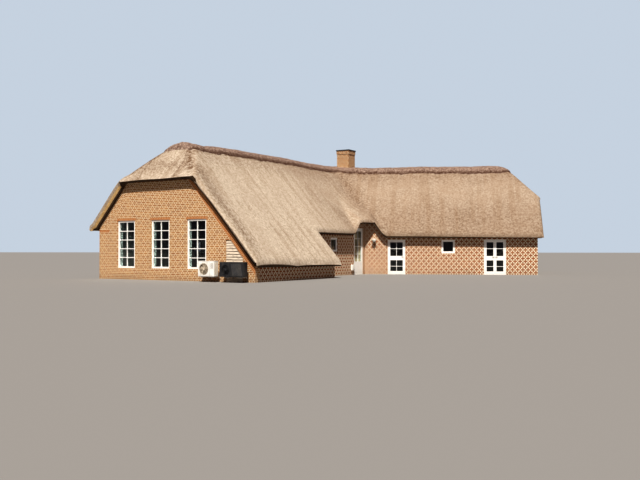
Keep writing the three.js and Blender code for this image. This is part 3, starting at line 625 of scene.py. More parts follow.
def end_shift(plan, hip_out, verge_back):
    """Slides the end columns out by hip_out under the half-hips and back by verge_back under
    the verges, fading over the last half metre."""
    x, y = plan[..., 0], plan[..., 1]
    u, t = across_along(x, y)
    by_verge = smooth_step(2.26, 2.46, np.abs(u))
    west = (hip_out * (1 - by_verge) - verge_back * by_verge) * smooth_step(15.8, WEST_END, t)
    by_verge = smooth_step(2.42, 2.62, np.abs(y))
    east = (0.5 * hip_out * (1 - by_verge) - verge_back * by_verge) * smooth_step(12.5, EAST_END, x)
    return plan + np.stack([-west * math.sin(WING) + east, -west * math.cos(WING)], -1)


def sheet_plan(eave_back, hip_out, verge_back):
    """Plan grid of one skin of the thatch: straight rows of points from ridge to eave in
    every column, shortened by eave_back, with its end columns shifted."""
    left = 1 - eave_back / LEFT_EAVE
    nook = np.where(np.arange(len(columns)) <= step_column, 1.0, 1 - eave_back / NOOK_EAVE)
    ridge = ridge_line[:, None]
    left_rows = ridge + (left_edge[:, None] - ridge) * rise[::-1][:-1, None] * left
    nook_rows = ridge + (nook_edge[:, None] - ridge) * rise[:, None] * nook[:, None, None]
    sunk = 0.13 * smooth_step(WEST_END, SHED_STEP, -columns)
    reach = (SHED_EAVE + sunk - NOOK_EAVE - eave_back)[:, None] * tail
    leaning = 0.12 * smooth_step(10.3, SHED_STEP, -columns)
    way = wing_plan(1.0, 0.0) + leaning[:, None, None] * wing_plan(0.0, 1.0)
    shed_rows = nook_edge[:, None] + reach[..., None] * way
    return end_shift(np.concatenate([left_rows, nook_rows, shed_rows], 1), hip_out, verge_back)


def edge_loop():
    """Grid indices round the thatch: the back eave east, the east verge, the front and nook
    eaves, out and along the catslide's end and eave, and up the west verge."""
    rows = 2 * len(rise) - 1
    full = rows + len(tail)
    last = len(columns) - 1
    path = [(i, 0) for i in range(0, last)]
    path += [(last, j) for j in range(0, rows - 1)]
    path += [(i, rows - 1) for i in range(last, step_column, -1)]
    path += [(step_column, j) for j in range(rows - 1, full - 1)]
    path += [(i, full - 1) for i in range(step_column, 0, -1)]
    path += [(0, j) for j in range(full - 1, 0, -1)]
    index = np.array(path)
    return index[:, 0] * full + index[:, 1]


def distance_to(x, y, segments):
    """Least plan distance from points to a list of segments (x0, y0, x1, y1)."""
    nearest = np.full(x.shape, 9.0)
    for x0, y0, x1, y1 in segments:
        dx, dy = x1 - x0, y1 - y0
        s = np.clip(((x - x0) * dx + (y - y0) * dy) / (dx * dx + dy * dy), 0, 1)
        nearest = np.minimum(nearest, np.hypot(x - x0 - s * dx, y - y0 - s * dy))
    return nearest


def wing_segment(u0, t0, u1, t1):
    """A plan segment given across and along the west wing."""
    return (*wing_plan(u0, t0), *wing_plan(u1, t1))


VERGES = [
    wing_segment(-4.30, WEST_END, -2.45, WEST_END), wing_segment(2.45, WEST_END, 5.80, WEST_END),
    wing_segment(4.60, SHED_STEP, 5.80, SHED_STEP),
    (EAST_END, -4.52, EAST_END, -2.6), (EAST_END, 2.6, EAST_END, 4.31),
]
EAVES = [
    wing_segment(-LEFT_EAVE - FLARE, WEST_END, -LEFT_EAVE, FLARE_START),
    wing_segment(-LEFT_EAVE, FLARE_START, -LEFT_EAVE, -BACK_CORNER),
    (*corner_back, EAST_END, LEFT_EAVE),
    (EAST_END, -FRONT_EAVE, FRONT_CORNER, -FRONT_EAVE),
    (FRONT_CORNER, -FRONT_EAVE, *wing_plan(NOOK_EAVE, NOOK_CORNER)),
    wing_segment(NOOK_EAVE, NOOK_CORNER, NOOK_EAVE, SHED_STEP),
]
SHED_EAVES = [wing_segment(SHED_EAVE, WEST_END, SHED_EAVE + 0.12, SHED_STEP)]
HIP_EAVES = [
    wing_segment(-2.4, WEST_HIP_EDGE, 2.4, WEST_HIP_EDGE), (EAST_HIP_EDGE, -2.5, EAST_HIP_EDGE, 2.5),
]


def rounded_off(x, y, segments, radius, drop):
    """Fall of the skin near an edge: a quarter ellipse, radius wide and drop deep."""
    near = np.clip(1 - distance_to(x, y, segments) / radius, 0, 1)
    return drop * (1 - np.sqrt(1 - near**2))


def new_piece(name, points, faces, materials, face_material=None):
    """Mesh object at the origin from an (n, 3) array and lists of corner indices."""
    mesh = bpy.data.meshes.new(name)
    mesh.from_pydata([tuple(p) for p in np.asarray(points, float).tolist()], [], faces)
    for material in materials:
        mesh.materials.append(material)
    if face_material is not None:
        mesh.polygons.foreach_set("material_index", np.asarray(face_material, np.int32))
    mesh.polygons.foreach_set("use_smooth", np.ones(len(mesh.polygons), bool))
    mesh.update()
    piece = bpy.data.objects.new(name, mesh)
    bpy.context.scene.collection.objects.link(piece)
    return piece


def grid_faces(count_i, count_j):
    """Quads of a grid with count_i by count_j points, row by row, facing j cross i."""
    i, j = np.meshgrid(np.arange(count_i - 1), np.arange(count_j - 1), indexing="ij")
    first = (i * count_j + j).ravel()
    return np.stack([first, first + 1, first + count_j + 1, first + count_j], -1)


outer_plan = sheet_plan(0.0, 0.10, 0.0)
inner_plan = sheet_plan(0.14, -0.12, 0.12)
full_rows = outer_plan.shape[1]
main_rows = 2 * len(rise) - 1
plan_u, plan_t = across_along(outer_plan[..., 0], outer_plan[..., 1])
flared = FLARE * smooth_step(FLARE_START, 16.3, plan_t) * smooth_step(3.2, 4.3, -plan_u)
outer_plan = outer_plan - flared[..., None] * wing_plan(1.0, 0.0)
outer_flat, inner_flat = outer_plan.reshape(-1, 2), inner_plan.reshape(-1, 2)
skin_z = thatch_top(*outer_flat.T)
skin_u = across_along(*outer_flat.T)[0]
west_drop = np.where(skin_u < 0, 0.10, 0.30 - 0.16 * smooth_step(2.3, 3.6, skin_u))
fall = np.maximum.reduce([
    rounded_off(*outer_flat.T, edges, radius, drop) for edges, radius, drop in (
        (VERGES[:2], 0.30, west_drop), (VERGES[2:], 0.28, 0.24), (EAVES[:4], 0.12, 0.17),
        (EAVES[4:], 0.12, 0.14), (SHED_EAVES, 0.16, 0.24), (HIP_EAVES, 0.08, 0.04),
    )
])
skin = np.column_stack([outer_flat, skin_z - fall])
under = np.column_stack([inner_flat, thatch_under(*inner_flat.T)])
under_u, under_t = across_along(*inner_flat.T)
under[:, 2] += 0.17 * smooth_step(16.10, 16.20, under_t) * smooth_step(2.3, 3.4, under_u)
count = len(skin)

quads = grid_faces(len(columns), full_rows)
cell_i, cell_j = quads[:, 0] // full_rows, quads[:, 0] % full_rows
quads = quads[(cell_j < main_rows - 1) | (cell_i < step_column)]
loop = edge_loop()
RIM = 5
away = skin[np.roll(loop, -1), :2] - skin[np.roll(loop, 1), :2]
away = np.stack([-away[:, 1], away[:, 0]], -1)
away /= np.linalg.norm(away, axis=1)[:, None] + 1e-9
by_eave = smooth_step(0.0, 0.15, distance_to(*skin[loop, :2].T, VERGES))
rim = []
for k in range(1, RIM):
    share = k / RIM
    row_points = skin[loop] * (1 - share) + under[loop] * share
    row_points[:, :2] += away * 0.02 * math.sin(math.pi * share)
    row_points[:, 2] -= 0.08 * math.sin(math.pi * share) * by_eave
    rim.append(row_points)
points = np.concatenate([skin, under] + rim)
between_rings = [2 * count + k * len(loop) + np.arange(len(loop)) for k in range(RIM - 1)]
rings = [loop, *between_rings, loop + count]
rim_faces = np.concatenate([
    np.stack([a, np.roll(a, -1), np.roll(b, -1), b], -1) for a, b in zip(rings[:-1], rings[1:])
])
rim_centre = points[rim_faces].mean(1)
from_verge = distance_to(*rim_centre.T[:2], VERGES)
on_verge = from_verge + 0.03 < distance_to(*rim_centre.T[:2], EAVES + SHED_EAVES + HIP_EAVES)
ring = np.arange(len(rim_faces)) // len(loop)
rim_u, rim_t = across_along(*rim_centre.T[:2])
turned_over = np.where(rim_u > 0, 3, 2)
on_verge |= (rim_u < -3.8) & (rim_t > 15.6)
thatch_faces = np.concatenate([quads, quads[:, ::-1] + count, rim_faces])
thatch_kinds = np.concatenate([
    np.repeat([0, 1], len(quads)),
    np.select([on_verge & (ring < turned_over), on_verge & (turned_over == 2) & (ring < 4)], [0, 2], 3),
])
kept, renumbered = np.unique(thatch_faces, return_inverse=True)
points, thatch_faces = points[kept], renumbered.reshape(-1, 4)

# The reed's lay: distance along the eave and down the slope, on each face's own slope.
centre = points[thatch_faces].mean(1)
u, t = across_along(centre[:, 0], centre[:, 1])
outer, inner = slopes(centre[:, 0], centre[:, 1], APEX, 0.01, 0.01)
plain = np.minimum(outer, inner)
left_side = outer < inner
back_slope = left_side & (APEX - PITCH * centre[:, 1] < APEX + PITCH * u)
front_slope = ~left_side & (APEX + PITCH * centre[:, 1] > APEX - PITCH * u)
on_west_hip = 4.91 + WEST_HIP_EDGE - t < plain
on_east_hip = 4.62 + (EAST_HIP_EDGE - centre[:, 0]) * PITCH < plain
corner = points[thatch_faces]
corner_u, corner_t = across_along(corner[..., 0], corner[..., 1])
lay = np.where((back_slope | front_slope)[:, None], corner[..., 0], corner_t + 40.0)
lay = np.where(on_west_hip[:, None], corner_u + 80.0, lay)
lay = np.where(on_east_hip[:, None], corner[..., 1] + 120.0, lay)
down = (APEX - corner[..., 2]) * SLOPE_PER_DROP

# Weathering, 0 to 1: brown run-off down the hip creases, the valley and the verges and from under the ridge
# turf, with painted shade in a band just under the turf's edge and on the swell beside the raised entrance
# eave; and pale, painted sunlight that makes the reed of the slopes that face the afternoon sun paler.
x, y, z = points.T
u, t = across_along(x, y)
west_crease = (t - 13.63 - PITCH * np.abs(u)) / 1.5
east_crease = np.abs(x - (EAST_HIP_EDGE - 2.98 / PITCH) - np.abs(y)) / 1.4
inside = np.where(west_crease > 0.2, (west_crease - 0.2) / 0.26, (0.2 - west_crease) / 0.2)
stain = 0.95 * np.exp(-(inside**2)) * smooth_step(4.8, 5.4, z)
inside = np.where(west_crease > 0.2, (west_crease - 0.2) / 0.65, (0.2 - west_crease) / 0.25)
stain = np.maximum(stain, 0.40 * np.exp(-(inside**2)) * smooth_step(4.8, 6.2, z))
stain = np.maximum(stain, 0.35 * np.exp(-((east_crease / 0.25) ** 2)) * smooth_step(4.6, 5.6, z))
valley = np.abs(u + y) / 1.96
stain = np.maximum(stain, 0.50 * np.exp(-((valley / 0.35) ** 2)) * smooth_step(2.8, 4.6, z))
# Painted shade: the swell of reed left of the raised entrance eave is darkened against the light it
# catches.
shoulder = np.exp(-(((t - 4.8) / 0.45) ** 2)) * smooth_step(2.0, 3.0, u)
stain = np.maximum(stain, 0.30 * shoulder * smooth_step(-4.2, -3.4, -z))
beside_verge = WEST_END - t
stain = np.maximum(stain, 0.50 * np.exp(-(((beside_verge - 0.55) / 0.45) ** 2)) * smooth_step(0.6, 2.4, z))
from_ridge = (APEX - np.minimum(*slopes(x, y, APEX, 0.4, 0.4))) / PITCH
# Painted shadow: a dark band just below the turf's ragged edge, where the turf shades the reed.
stain = np.maximum(stain, 0.75 * np.exp(-(((from_ridge - 1.12) / 0.10) ** 2)))
stain = np.maximum(stain, 0.30 * np.exp(-(((from_ridge - 1.3) / 0.45) ** 2)))
# Painted sunlight: pale lightens the reed of the west wing's slopes, more towards the west gable and less
# on the back slope.
eastward = smooth_step(-1.0, 1.2, y + u + 0.6)
pale = (1 - eastward * smooth_step(-1.5, 1.0, x)) * (0.35 + 0.65 * smooth_step(5.0, 9.5, t))
pale = pale * np.where(u < 0, 0.7, 1.0)
lower_front = eastward * smooth_step(4.9, 3.0, z)
stain = np.maximum(stain, 0.32 * lower_front)

thatch_skin, tree, shader = new_material("thatch_skin")
lay_map = shader_node(tree, "ShaderNodeUVMap", uv_map="lay").outputs[0]
here = own_place(tree)


def stretched(tree, vector, scale):
    """A vector scaled apart in each direction."""
    return shader_node(tree, "ShaderNodeMapping", {"Vector": vector, "Scale": scale}).outputs[0]


def painted(tree, name):
    """A number stored on the piece's own points."""
    return shader_node(tree, "ShaderNodeAttribute", attribute_name=name).outputs["Fac"]


def stored(piece, name, values):
    """Stores a number on each of the piece's points, for painted to read."""
    layer = piece.data.attributes.new(name, "FLOAT", "POINT")
    layer.data.foreach_set("value", np.asarray(values, np.float32))


# Reed ends: short streaks down the slope, combed rows, and mottling by weather.
reed_lay, entry, leave = shader_group(
    "reed_lay", {"Lay": ("v", (0.0, 0.0, 0.0)), "Place": ("v", (0.0, 0.0, 0.0))},
    {"Streak": "f", "Mottle": "f", "Patch": "f", "Run": "f", "Height": "f"},
)
streak = noise(reed_lay, stretched(reed_lay, entry.outputs["Lay"], (26.0, 3.2, 1.0)), 1.0, 5.0, 0.72, "2D")
fine = noise(reed_lay, stretched(reed_lay, entry.outputs["Lay"], (150.0, 9.0, 1.0)), 1.0, 3.0, 0.6, "2D")
run = noise(reed_lay, stretched(reed_lay, entry.outputs["Lay"], (2.4, 0.16, 1.0)), 1.0, 3.0, 0.6, "2D")
mottle = noise(reed_lay, entry.outputs["Place"], 9.0, 4.0, 0.72)
patch = noise(reed_lay, entry.outputs["Place"], 0.65, 5.0, 0.68)
thin = calc(reed_lay, "MULTIPLY", fine, 0.4)
combed = calc(reed_lay, "ADD", calc(reed_lay, "MULTIPLY", streak, 0.6), thin)
fill_inputs(reed_lay, leave, {
    "Streak": combed, "Mottle": mottle, "Patch": patch, "Run": run,
    "Height": calc(reed_lay, "MULTIPLY_ADD", mottle, 0.6, combed),
})

reed = place_group(tree, reed_lay, {"Lay": lay_map, "Place": here})
tone = calc(tree, "MULTIPLY", reed.outputs["Streak"], 0.25)
tone = calc(tree, "MULTIPLY_ADD", reed.outputs["Mottle"], 0.50, tone)
tone = calc(tree, "MULTIPLY_ADD", reed.outputs["Patch"], 0.25, tone)
straw = tone_ramp(tree, tone, (
    (0.36, (0.25, 0.185, 0.130, 1.0)),
    (0.46, (0.36, 0.280, 0.210, 1.0)),
    (0.54, (0.45, 0.365, 0.285, 1.0)),
    (0.66, (0.55, 0.465, 0.380, 1.0)),
))
# Painted sunlight: the straw is lifted to a paler tone where pale is stored.
painted_sunlit_straw = mixed(tree, 1.0, straw, (1.44, 1.55, 1.62, 1.0), "MULTIPLY")
straw = mixed(tree, painted(tree, "pale"), straw, painted_sunlit_straw)
browning = ramp(tree, reed.outputs["Patch"], 0.42, 0.68, 0.0, 0.36)
running = ramp(tree, reed.outputs["Run"], 0.46, 0.64, 0.0, 0.32)
browning = calc(tree, "MAXIMUM", browning, running)
uneven = ramp(tree, reed.outputs["Mottle"], 0.36, 0.60, 1.35, 0.45)
# Stain darkens the reed: mostly run-off, but under the turf's edge and on the swell by the entrance it is
# painted shade.
weathered = calc(tree, "MULTIPLY", painted(tree, "stain"), uneven)
straw = mixed(tree, browning, straw, (0.27, 0.175, 0.105, 1.0))
straw = mixed(tree, calc(tree, "MINIMUM", weathered, 0.95), straw, (0.15, 0.085, 0.045, 1.0))
fill_inputs(tree, shader, {
    "Base Color": straw, "Roughness": 0.93, "Specular IOR Level": 0.2,
    "Normal": relief(tree, reed.outputs["Height"], 0.05, 0.8),
})


def cut_reed(name, pale, dark):
    """Butts of reed on a dressed edge: pale stubs about 17 mm apart between dark gaps."""
    made, tree, shader = new_material(name)
    here = own_place(tree)
    stub = shader_node(tree, "ShaderNodeTexVoronoi", {"Vector": here, "Scale": 60.0}).outputs["Distance"]
    patch = noise(tree, here, 3.5, 5.0, 0.7)
    ends = mixed(tree, ramp(tree, stub, 0.15, 0.75), pale, dark)
    ends = mixed(tree, ramp(tree, patch, 0.42, 0.66, 0.0, 0.7), ends, dark)
    fill_inputs(tree, shader, {
        "Base Color": ends, "Roughness": 0.95, "Normal": relief(tree, stub, 0.01, 0.9),
    })
    return made


verge_reed = cut_reed("verge_reed", (0.92, 0.68, 0.34, 1.0), (0.46, 0.30, 0.14, 1.0))
# Painted shade: the eaves' cut ends and the lower verge rims are the same reed as the golden verge ends,
# darkened near black where shade falls.
eave_reed_painted_shade = cut_reed("eave_reed_painted_shade", (0.15, 0.093, 0.048, 1.0), (0.045, 0.026, 0.015, 1.0))

# Painted shade: the thatch's underside is near black, standing for the shade under the eaves and half-hips.
thatch_lining_painted_shade, tree, shader = new_material("thatch_lining_painted_shade")
here = own_place(tree)
reedy = noise(tree, stretched(tree, here, (30.0, 30.0, 4.0)), 1.0, 4.0, 0.6)
tree.links.new(
    mixed(tree, ramp(tree, reedy, 0.3, 0.7), (0.045, 0.027, 0.015, 1.0), (0.10, 0.064, 0.036, 1.0)),
    shader.inputs["Base Color"],
)
shader.inputs["Roughness"].default_value = 0.95

thatch = new_piece(
    "thatch", points, thatch_faces.tolist(),
    [thatch_skin, thatch_lining_painted_shade, verge_reed, eave_reed_painted_shade], thatch_kinds,
)
lay_layer = thatch.data.uv_layers.new(name="lay")
lay_layer.data.foreach_set("uv", np.stack([lay, down], -1).astype(np.float32).ravel())
stored(thatch, "stain", stain)
stored(thatch, "pale", pale)
thatch.data.set_sharp_from_angle(angle=math.radians(50))
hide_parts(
    "thatch_west_slope", "thatch_catslide", "thatch_nook_slope", "thatch_west_half_hip",
    "thatch_front_slope", "thatch_back_slope", "thatch_east_half_hip", "thatch_entrance_canopy",
)
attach(thatch, "house")


# Ridge: a bank of dark heather turf trodden down over both ridges and their corner, turned
# over the crests of the half-hips, with a ragged lower edge that stands proud of the reed.
CAP_REACH = 1.10
WEST_TIP, EAST_TIP = 14.95, 11.50
cap_columns = stations((-WEST_TIP, -1.6, 0.075), (-1.6, 1.6, 0.07), (1.6, EAST_TIP, 0.075))
cap_rows = np.concatenate([[-1, -0.985, -0.96], np.linspace(-0.92, 0.92, 37), [0.96, 0.985, 1]])


def beside_ridge(s, d):
    """Plan points at distance d beside the ridge (nook and front positive) and station s
    along it; within 3 m of the corner the stations close up or spread to meet the mitre."""
    bend, near = 0.676, 3.0
    reach = np.abs(s)
    a = np.where(reach < near, bend * d + reach * (1 - bend * d / near), reach)
    west = wing_plan(d, a)
    east = np.stack(np.broadcast_arrays(a, -d), -1)
    return np.where((s < 0)[..., None], west, east)


RAGS = [(draws.uniform(2.0, 22.0), draws.uniform(0, math.tau)) for _ in range(24)]


def ragged(s, seed):
    """Sum of 24 waves along the ridge, about 1 high: the torn edge of the turf."""
    return sum(np.sin(rate * s + phase + seed) / (1 + 0.12 * rate) for rate, phase in RAGS) / 3.2


def tufts(x, y):
    """Clumps of heather: products of crossed waves at two sizes, about 1 high."""
    broad = np.sin(5.1 * x + 1.3 * np.sin(3.3 * y)) * np.sin(4.7 * y + 1.1 * np.sin(3.9 * x))
    small = np.sin(13.0 * x + 2.0 * np.sin(7.1 * y)) * np.sin(12.1 * y + 1.7 * np.sin(8.3 * x))
    return 0.5 * broad + 0.5 * small


s_grid, q_grid = np.meshgrid(cap_columns, cap_rows, indexing="ij")
narrowing = np.where(q_grid < 0, 0.28, 0.14)
taper = 1 - narrowing * smooth_step(14.2, WEST_TIP, -s_grid) + 0.12 * smooth_step(2.0, 9.0, s_grid)
taper = taper - 0.22 * smooth_step(10.6, EAST_TIP, s_grid)
margin = CAP_REACH * taper + 0.045 * ragged(s_grid, np.where(q_grid > 0, 0.0, 2.1))
cap_plan = beside_ridge(s_grid, q_grid * margin)
cap_x, cap_y = cap_plan[..., 0], cap_plan[..., 1]
west_fall = smooth_step(-WEST_TIP, -WEST_TIP + 0.07, s_grid)
east_fall = 1 - smooth_step(EAST_TIP - 0.07, EAST_TIP, s_grid)
shoulder = np.sqrt(np.clip(1 - np.abs(q_grid) ** 9, 0, 1)) * np.sqrt(west_fall * east_fall)
base = thatch_top(cap_x, cap_y)
cap_top = base + shoulder * (0.095 + 0.030 * tufts(cap_x, cap_y) + 0.03 * (1 - np.abs(q_grid)))
cap_low = base - 0.04
cap_points = np.concatenate([
    np.column_stack([cap_x.ravel(), cap_y.ravel(), cap_top.ravel()]),
    np.column_stack([cap_x.ravel(), cap_y.ravel(), cap_low.ravel()]),
])
n_i, n_j = s_grid.shape
top_faces = grid_faces(n_i, n_j)
cap_loop = np.concatenate([
    np.arange(0, n_i - 1) * n_j,
    (n_i - 1) * n_j + np.arange(0, n_j - 1),
    np.arange(n_i - 1, 0, -1) * n_j + n_j - 1,
    np.arange(n_j - 1, 0, -1),
])
cap_rim = np.stack(
    [cap_loop, np.roll(cap_loop, -1), np.roll(cap_loop, -1) + n_i * n_j, cap_loop + n_i * n_j], -1
)
cap_faces = np.concatenate([top_faces, top_faces[:, ::-1] + n_i * n_j, cap_rim])
# rim_shade marks the turf's outer edge and its underside, which the material darkens as painted shadow.
rim_shade = np.concatenate([smooth_step(0.80, 0.99, np.abs(q_grid)).ravel(), np.ones(n_i * n_j)])

heather, tree, shader = new_material("heather_turf")
here = own_place(tree)
clump = noise(tree, here, 9.0, 6.0, 0.75)
twig = noise(tree, here, 48.0, 4.0, 0.7)
tone = calc(tree, "MULTIPLY_ADD", twig, 0.5, calc(tree, "MULTIPLY", clump, 0.5))
turf = tone_ramp(tree, tone, (
    (0.38, (0.060, 0.034, 0.026, 1.0)),
    (0.46, (0.18, 0.115, 0.088, 1.0)),
    (0.52, (0.36, 0.260, 0.205, 1.0)),
    (0.62, (0.64, 0.53, 0.45, 1.0)),
))
# Painted shadow: the turf's edge and underside are darkened where shade falls under its ragged lip.
painted_edge_shadow = calc(tree, "MULTIPLY", painted(tree, "edge"), ramp(tree, clump, 0.35, 0.65, 0.95, 0.55))
turf = mixed(tree, painted_edge_shadow, turf, (0.085, 0.040, 0.024, 1.0))
tree.links.new(turf, shader.inputs["Base Color"])
shader.inputs["Roughness"].default_value = 0.97
shader.inputs["Specular IOR Level"].default_value = 0.15
tree.links.new(relief(tree, tone, 0.09, 0.9), shader.inputs["Normal"])

ridge_turf = new_piece("ridge_turf", cap_points, cap_faces.tolist(), [heather])
stored(ridge_turf, "edge", rim_shade)
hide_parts("ridge_cap_west", "ridge_cap_east")
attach(ridge_turf, "house")


# Chimney slab: a thin dark slate plate, left as it was cleft, bedded on the flared head of
# the brick stack.
dark_slate, tree, shader = new_material("dark_slate")
here = own_place(tree)
cleft = noise(tree, here, 14.0, 5.0, 0.65)
tree.links.new(
    mixed(tree, ramp(tree, cleft, 0.35, 0.65), (0.030, 0.032, 0.036, 1.0), (0.075, 0.078, 0.082, 1.0)),
    shader.inputs["Base Color"],
)
shader.inputs["Roughness"].default_value = 0.65
tree.links.new(relief(tree, cleft, 0.004), shader.inputs["Normal"])
finish_node("chimney_slab", dark_slate)


# White joinery: frames, linings and leaves of painted softwood, brush-marked and slightly
# soiled towards the ground; the lever handles on the leaves are brushed stainless steel.
white_paint, tree, shader = new_material("white_paint")
here = own_place(tree)
brushed = noise(tree, stretched(tree, here, (6.0, 6.0, 40.0)), 1.0, 3.0, 0.6)
soil = ramp(tree, noise(tree, here, 3.0, 5.0, 0.65), 0.45, 0.75, 0.0, 0.22)
low = ramp(tree, height_of(tree, here), 0.05, 0.5, 0.35, 0.0)
soil = calc(tree, "MAXIMUM", soil, low)
fill_inputs(tree, shader, {
    "Base Color": mixed(tree, soil, (0.93, 0.925, 0.89, 1.0), (0.66, 0.63, 0.56, 1.0)),
    "Roughness": ramp(tree, brushed, 0.3, 0.7, 0.36, 0.52),
    "Normal": relief(tree, brushed, 0.0008, 0.5),
})
for name in (
    "gable_window_left_frame", "gable_window_middle_frame", "gable_window_right_frame",
    "nook_window_frame", "kitchen_window_frame", "back_window_frame", "west_window_frame",
    "entrance_frame", "terrace_door_frame", "french_door_frame",
):
    finish_node(name, white_paint)

LEVER_LEVEL, LEVER_HALF, LEAF_INSET = 1.03, 0.03, 0.030
white_leaf = white_paint.copy()
white_leaf.name = "white_leaf"
tree = white_leaf.node_tree
shader = tree.nodes["Principled BSDF"]
depth = place_group(tree, indoors).outputs["Depth"]
level = height_of(tree, own_place(tree))
from_lever = calc(tree, "ABSOLUTE", calc(tree, "SUBTRACT", level, LEVER_LEVEL))
in_front = calc(tree, "LESS_THAN", depth, LEAF_INSET - 0.0015)
steel = calc(tree, "MULTIPLY", calc(tree, "LESS_THAN", from_lever, LEVER_HALF), in_front)
paint_tone = shader.inputs["Base Color"].links[0].from_socket
tree.links.new(mixed(tree, steel, paint_tone, (0.46, 0.45, 0.43, 1.0)), shader.inputs["Base Color"])
tree.links.new(steel, shader.inputs["Metallic"])
for name in ("entrance_door", "terrace_door", "french_door_left", "french_door_right"):
    finish_node(name, white_leaf)


# Glass: clear panes puttied into every frame and leaf, faintly green and not quite flat, so
# that what they mirror breaks up into patches.
pane_glass, tree, shader = new_material("pane_glass")
fill_inputs(tree, shader, {
    "Base Color": (0.80, 0.90, 0.90, 1.0), "Roughness": 0.02, "Transmission Weight": 1.0, "IOR": 1.5,
    "Normal": relief(tree, noise(tree, own_place(tree), 2.0, 2.0), 0.01, 0.25),
})
passing = shader_node(tree, "ShaderNodeBsdfTransparent", {"Color": (0.85, 0.92, 0.91, 1.0)})
shadow_ray = shader_node(tree, "ShaderNodeLightPath").outputs["Is Shadow Ray"]
blend = shader_node(
    tree, "ShaderNodeMixShader", {0: shadow_ray, 1: shader.outputs[0], 2: passing.outputs[0]}
)
tree.links.new(blend.outputs[0], tree.nodes["Material Output"].inputs["Surface"])
for name in (
    "gable_window_left_glass", "gable_window_middle_glass", "gable_window_right_glass",
    "nook_window_glass", "kitchen_window_glass", "back_window_glass", "west_window_glass",
    "entrance_door_glass", "terrace_door_glass", "french_door_left_glass", "french_door_right_glass",
):
    finish_node(name, pane_glass)


# Entrance curtains: a pair of fawn net curtains, gathered on a thin rod inside the leaf, one
# to each column of panes; they swing with the door.
ENTRANCE_START = 4.18
ROD_DEPTH, ROD_LEVEL, CURTAIN_FOOT = 0.108, 2.545, 0.70
FOLD, FOLD_DEPTH, HEADING = 0.046, 0.0095, 0.03
CURTAIN_DROP = ROD_LEVEL + HEADING - CURTAIN_FOOT


def door_point(x, depth, z):
    """A point by the entrance: x along its opening, depth behind the wall's face, height z."""
    x, depth, z = np.broadcast_arrays(x, depth, z)
    plan = wing_plan(NOOK_FACE - depth, ENTRANCE_START - x)
    return np.concatenate([plan, z[..., None]], -1)


def outward(points, faces):
    """Faces of a closed skin turned outward: reversed when its signed volume is negative."""
    volume = 0.0
    for face in faces:
        a = points[face[0]]
        for b, c in zip(face[1:-1], face[2:]):
            volume += np.dot(a, np.cross(points[b], points[c]))
    return faces if volume > 0 else [list(face)[::-1] for face in faces]


def carried(rings):
    """Closed profiles joined one to the next along a path, with a fan over each end."""
    rings = np.asarray(rings, float)
    count, size = rings.shape[:2]
    i, j = np.meshgrid(np.arange(count - 1), np.arange(size), indexing="ij")
    first, second = i * size + j, i * size + (j + 1) % size
    sides = np.stack([first, second, second + size, first + size], -1).reshape(-1, 4).tolist()
    points = np.concatenate([rings.reshape(-1, 3), rings[[0, -1]].mean(1)])
    start, end = count * size, count * size + 1
    last = (count - 1) * size
    for k in range(size):
        follow = (k + 1) % size
        sides.append([start, follow, k])
        sides.append([end, last + k, last + follow])
    return points, outward(points - points.mean(0), sides)


def joined_piece(name, materials, parts):
    """One piece from several closed skins (points, faces, material index or indices)."""
    points, faces, kinds, offset = [], [], [], 0
    for skin_points, skin_faces, kind in parts:
        points.append(skin_points)
        faces += [[corner + offset for corner in face] for face in skin_faces]
        kinds += [kind] * len(skin_faces) if np.isscalar(kind) else list(kind)
        offset += len(skin_points)
    piece = new_piece(name, np.concatenate(points), faces, materials, kinds)
    piece.data.set_sharp_from_angle(angle=math.radians(35))
    return piece


def round_bar(path, radius, sides=10):
    """A round bar: a circle set square to a path of points at every one of them."""
    path = np.asarray(path, float)
    ahead = np.gradient(path, axis=0)
    ahead /= np.linalg.norm(ahead, axis=1)[:, None]
    guide = np.where(np.abs(ahead[:, 2:]) > 0.9, [[1.0, 0.3, 0.0]], [[0.0, 0.0, 1.0]])
    first = np.cross(ahead, guide)
    first /= np.linalg.norm(first, axis=1)[:, None]
    second = np.cross(ahead, first)
    turn = np.linspace(0, math.tau, sides, endpoint=False)[None, :, None]
    wide = np.broadcast_to(np.asarray(radius, float), len(path))[:, None, None]
    circle = first[:, None] * np.cos(turn) + second[:, None] * np.sin(turn)
    return carried(path[:, None] + wide * circle)


curtain_cloth, tree, shader = new_material("curtain_cloth")
here = own_place(tree)
thread = noise(tree, stretched(tree, here, (260.0, 260.0, 12.0)), 1.0, 2.0, 0.6)
shading = noise(tree, here, 5.0, 3.0)
tree.links.new(
    mixed(tree, ramp(tree, thread, 0.3, 0.7), (0.52, 0.38, 0.25, 1.0), (0.70, 0.55, 0.39, 1.0)),
    shader.inputs["Base Color"],
)
tree.links.new(ramp(tree, shading, 0.3, 0.7, 0.82, 0.95), shader.inputs["Roughness"])
shader.inputs["Sheen Weight"].default_value = 0.25
rod_brass, tree, shader = new_material("rod_brass")
polish = ramp(tree, noise(tree, own_place(tree), 60.0), 0.3, 0.7, 0.25, 0.45)
fill_inputs(tree, shader, {"Base Color": (0.62, 0.46, 0.20, 1.0), "Metallic": 1.0, "Roughness": polish})
rod_x = np.linspace(0.120, 1.010, 12)
rod_points, rod_faces = round_bar(door_point(rod_x, ROD_DEPTH, ROD_LEVEL), 0.004)
curtain_parts = [(rod_points, rod_faces, 0)]
for rod_end in (0.124, 1.006):
    bracket = door_point(rod_end, np.linspace(0.0865, ROD_DEPTH, 4), ROD_LEVEL)
    curtain_parts.append((*round_bar(bracket, 0.0035), 0))
curtain_rod = joined_piece("curtain_rod", [rod_brass], curtain_parts)
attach(curtain_rod, "entrance_door")
